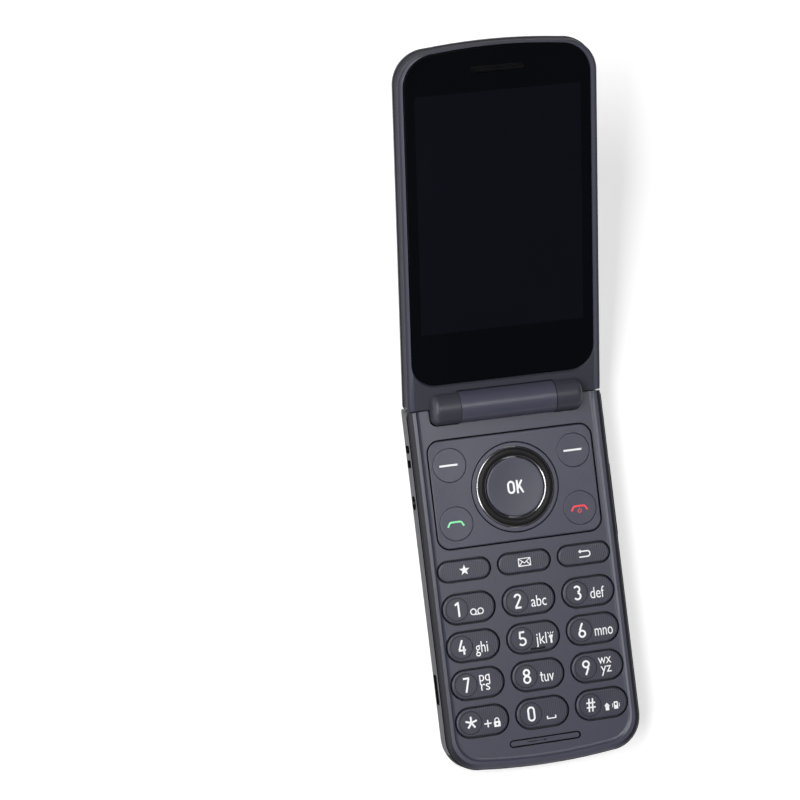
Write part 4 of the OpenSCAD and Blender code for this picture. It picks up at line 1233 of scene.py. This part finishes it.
ENVELOPE = [(FINE_STROKE, [(-1.8, -1.0), (1.65, -1.0), (1.65, 1.0), (-1.65, 1.0), (-1.65, -1.0)]),
            (0.26, [(-1.6, 0.95), (0, -0.25), (1.6, 0.95)]),
            (0.26, [(-1.6, -0.95), (-0.6, 0.1)]), (0.26, [(1.6, -0.95), (0.6, 0.1)])]
BACK = [(0.36, [(-1.4, 0.75), (0.85, 0.75), *arc(0.85, 0, 0.75, 70, -70, 6), (0.85, -0.75), (-1.5, -0.75)]),
        (0.3, [(-0.95, 1.15), (-1.55, 0.75), (-0.95, 0.35)])]
HANDSET = [(0.5, [(-2.25, -0.75), (-1.65, 0.3), (-1.3, 0.5), (1.3, 0.5), (1.65, 0.3), (2.25, -0.75)])]
POWER = [(0.2, arc(0, 0, 0.5, 130, 410, 12)), (0.2, [(0, 0.1), (0, 0.7)])]
DASH = [(0.52, [(-2.55, 0), (2.55, 0)])]


def drawn(x, y, level, lines):
    return [stroke(width, x, y, level, *points) for width, points in lines]


def padlock_body(x, y, level):
    body = printed_block(1.8, 1.5, 0.2, x, y - 0.6, level)
    return [cut(body, bore(0.3, x, y - 0.6, level - 1, 2, 20))]


def arrow_stem(x, y, level):
    return [printed_block(1.0, 1.3, 0.1, x, y - 0.4, level), printed_block(0.5, 0.5, 0.1, x, y + 0.35, level)]


def buzzer_body(x, y, level):
    """Small telephone with an open screen."""
    body = printed_block(1.15, 2.0, 0.15, x, y, level)
    return [cut(body, grow(outline("screen", 0.27, y, y + 0.62, 0, 0, level - 1, x=x), (0, 2)))]


def star(x, y, level):
    """Star with five points."""
    piece = disc("favourite", 1.5, 0, 0, 0, 10)
    with shaping(piece):
        pick(piece, "VERT", lambda v: round((math.degrees(math.atan2(v.co.y, v.co.x)) - 90) / 36) % 2 == 1)
        bpy.ops.transform.resize(value=(0.42, 0.42, 1), center_override=(0, 0, 0))
    grow(piece, (0, PRINT_T + PRINT_SINK))
    return [set_print(piece, x, y, level)]


# Lines and shapes on the keys, with their place from the middle of the key
KEY_LINES = {"key_1": [(VOICEMAIL, 2.1, -1.15)], "key_5": [(TORCH, 4.85, -0.6)],
             "key_8": [(LETTER_T, 0.9, -2.0)], "key_0": [(SPACE, 2.35, -1.6)],
             "key_star": [(PLUS, 1.4, -0.8), (SHACKLE, 3.95, -0.65)],
             "key_hash": [(ARROW_ROOF, 1.35, -1.0), (BUZZ_LINES, 3.85, -0.95)],
             "key_message": [(ENVELOPE, 0, 0)], "key_back": [(BACK, 0.1, 0)],
             "key_soft_left": [(DASH, -0.3, 0)], "key_soft_right": [(DASH, -0.2, 0)],
             "key_call": [(HANDSET, -0.2, 0)], "key_end": [(HANDSET, -0.2, 0), (POWER, -0.2, -0.75)]}
KEY_SHAPES = {"key_star": [(padlock_body, 3.95, -0.65)], "key_favorite": [(star, 0, 0)],
              "key_hash": [(arrow_stem, 1.35, -1.0), (buzzer_body, 3.85, -0.95)]}
ROUND_CAP_DISH = 0.02


def key_sign(node, ink):
    """All the print of a key, as one piece that rides on it."""
    x, y, top = place_of(node)
    parts = []
    if node in NUMBER_KEYS:
        width, length = cap_size(node)
        dial_x = x - (width - length) / 2 + DIGIT_SHIFT
        lines = {"key_star": ASTERISK, "key_hash": HASH}.get(node)
        if not lines:
            lines = [(DIGIT_STROKE, points) for points in DIGITS[node]]
        parts += drawn(dial_x, y, top - DIAL_DEPTH, lines)
    for text, width, shift, baseline, height in LETTERS.get(node, []):
        parts.append(written(text, width, height, x + shift, y + baseline, top))
    level = top - ROUND_CAP_DISH if node in ROUND_KEYS else top
    for lines, shift, rise in KEY_LINES.get(node, []):
        parts += drawn(x + shift, y + rise, level, lines)
    for shape, shift, rise in KEY_SHAPES.get(node, []):
        parts += shape(x + shift, y + rise, level)
    piece = joined(*parts)
    piece.name = piece.data.name = node + "_sign"
    return settle(piece, ON_BASE, node, "key_plastic", ink)


def ok_sign():
    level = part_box("key_ok")[1].z / MM - 0.14
    word = joined(*drawn(0, -NAV_S, level, [(0.56, points) for points in OK_WORD]))
    word.name = word.data.name = "ok_sign"
    return settle(word, ON_BASE, "key_ok", "key_plastic", white_print)


def finger_mark():
    """Raised bar on the middle key, by which a finger finds it."""
    x, y, top = place_of("key_5")
    mark = pill("key_5_mark", 4.3, 0.6, x + 0.85, y - 3.05, top - 0.05, (0, 0.1), *round_over(0.15, 0.08, 3))
    smooth(mark)
    return settle(mark, ON_BASE, "key_5", "key_plastic", ring_satin)


# ---- Stage, lamps and camera ----

# Light of the room on the object, and brightness of its ceiling, where 1 is white
ROOM_LIGHT = 0.5
CEILING = 0.08
# The pale wall ends between these heights of a direction, and is higher on the window's side
WALL_END = (0.02, 0.35)
WALL_LEAN = 0.3
# The floor's own glow near the phone, and the distances between which it turns white
FLOOR_GLOW = 0.45
FLOOR_FADE = (0.3, 0.9)
FLOOR_TONE = 0.80
FLOOR_SIZE = 8
CAMERA_PLACE = (-0.2255, 0.0530, 0.7835)
CAMERA_TURN = (1.73, -14.17, -7.11)
CAMERA_LENS = 135
CAMERA_SENSOR = 36


def seen_rays(tree):
    """Rays that the camera sees straight, and those that it sees straight, mirrored or through glass."""
    rays = node_in(tree, "ShaderNodeLightPath").outputs
    seen = math_in(tree, "MAXIMUM", rays["Is Camera Ray"], rays["Is Glossy Ray"])
    return rays["Is Camera Ray"], math_in(tree, "MAXIMUM", seen, rays["Is Transmission Ray"])


def stage():
    clear_hands()
    bpy.ops.mesh.primitive_plane_add(size=FLOOR_SIZE, location=(0, 0, 0))
    floor = started("floor")
    material = bpy.data.materials.new("pale_floor")
    material.use_nodes = True
    tree = material.node_tree
    tree.nodes.clear()
    direct, seen = seen_rays(tree)
    diffuse = node_in(tree, "ShaderNodeBsdfDiffuse")
    diffuse.inputs["Color"].default_value = (FLOOR_TONE, FLOOR_TONE, FLOOR_TONE, 1)
    away = node_in(tree, "ShaderNodeVectorMath", operation="LENGTH")
    feed(tree, place_in(tree), away.inputs[0])
    far = math_in(tree, "MULTIPLY", ramp_in(tree, away.outputs["Value"], *FLOOR_FADE), direct)
    near = math_in(tree, "MULTIPLY", seen, FLOOR_GLOW)
    glow = node_in(tree, "ShaderNodeEmission")
    feed(tree, math_in(tree, "MAXIMUM", near, far), glow.inputs["Strength"])
    both = node_in(tree, "ShaderNodeAddShader")
    clear = node_in(tree, "ShaderNodeBsdfTransparent")
    under = node_in(tree, "ShaderNodeMixShader")
    out = node_in(tree, "ShaderNodeOutputMaterial")
    below = node_in(tree, "ShaderNodeNewGeometry").outputs["Backfacing"]
    for source, target in ((diffuse.outputs[0], both.inputs[0]), (glow.outputs[0], both.inputs[1]),
                           (below, under.inputs[0]), (both.outputs[0], under.inputs[1]),
                           (clear.outputs[0], under.inputs[2]), (under.outputs[0], out.inputs["Surface"])):
        feed(tree, source, target)
    coat(floor, material)


def lamp(name, place, target, size, power):
    data = bpy.data.lights.new(name, "AREA")
    data.shape = "RECTANGLE"
    data.size, data.size_y = size
    data.energy = power
    item = in_scene(name, data)
    item.location = place
    item.rotation_euler = (Vector(target) - Vector(place)).to_track_quat("-Z", "Y").to_euler()
    item.visible_camera = False


def world_light():
    """Pale room up to the horizon and above it, under a dim ceiling."""
    world = bpy.data.worlds.new("soft_room")
    bpy.context.scene.world = world
    world.use_nodes = True
    tree = world.node_tree
    back = tree.nodes["Background"]
    direct, seen = seen_rays(tree)
    way = axes_in(tree, "Generated")
    height = math_in(tree, "ADD", way["Z"], math_in(tree, "MULTIPLY", way["X"], WALL_LEAN))
    wall = ramp_in(tree, height, *WALL_END, 1.0, CEILING)
    share = math_in(tree, "MULTIPLY_ADD", seen, 1 - ROOM_LIGHT, ROOM_LIGHT)
    room = math_in(tree, "MULTIPLY", share, wall)
    back.inputs["Color"].default_value = (1, 1, 1, 1)
    feed(tree, math_in(tree, "MAXIMUM", room, direct), back.inputs["Strength"])


def camera():
    data = bpy.data.cameras.new("camera")
    data.sensor_width = CAMERA_SENSOR
    data.lens = CAMERA_LENS
    item = in_scene("camera", data)
    item.location = CAMERA_PLACE
    item.rotation_euler = [math.radians(a) for a in CAMERA_TURN]
    bpy.context.scene.camera = item


# ---- Assembly ----

keypad_housing()
side_band()
battery_cover()
navigation_panel()
for node in NUMBER_KEYS + FUNCTION_KEYS:
    pill_key(node)
for node in ROUND_KEYS:
    round_key(node)
for node in NUMBER_KEYS + FUNCTION_KEYS + ROUND_KEYS:
    key_sign(node, {"key_call": green_print, "key_end": red_print}.get(node, white_print))
finger_mark()
direction_ring()
ok_cap()
ok_sign()
volume_key()
lid_shell()
lid_back()
main_glass()
outer_glass()
camera_trim()
camera_glass()
flash_cover()
quick_key()
earpiece_mesh()

slots = {part["node"]: part["material_slot"] for part in frame["record"]["subparts"]}
for name, node in frame["nodes"].items():
    if not node.hide_render:
        coat(node, OWN_FINISHES.get(name, INNER_FINISHES[slots[name]]))

stage()
world_light()
lamp("window_left", (-0.44, 0.12, 0.56), (0, 0.02, 0), (1.0, 0.3), 6)
lamp("softbox_above", (0.10, 0.14, 1.30), (0, 0, 0), (0.4, 0.4), 4.6)
lamp("soft_right", (1.0, -0.3, 0.6), (0, 0, 0), (0.7, 0.7), 1.1)
camera()
bpy.context.scene.view_settings.view_transform = "Standard"
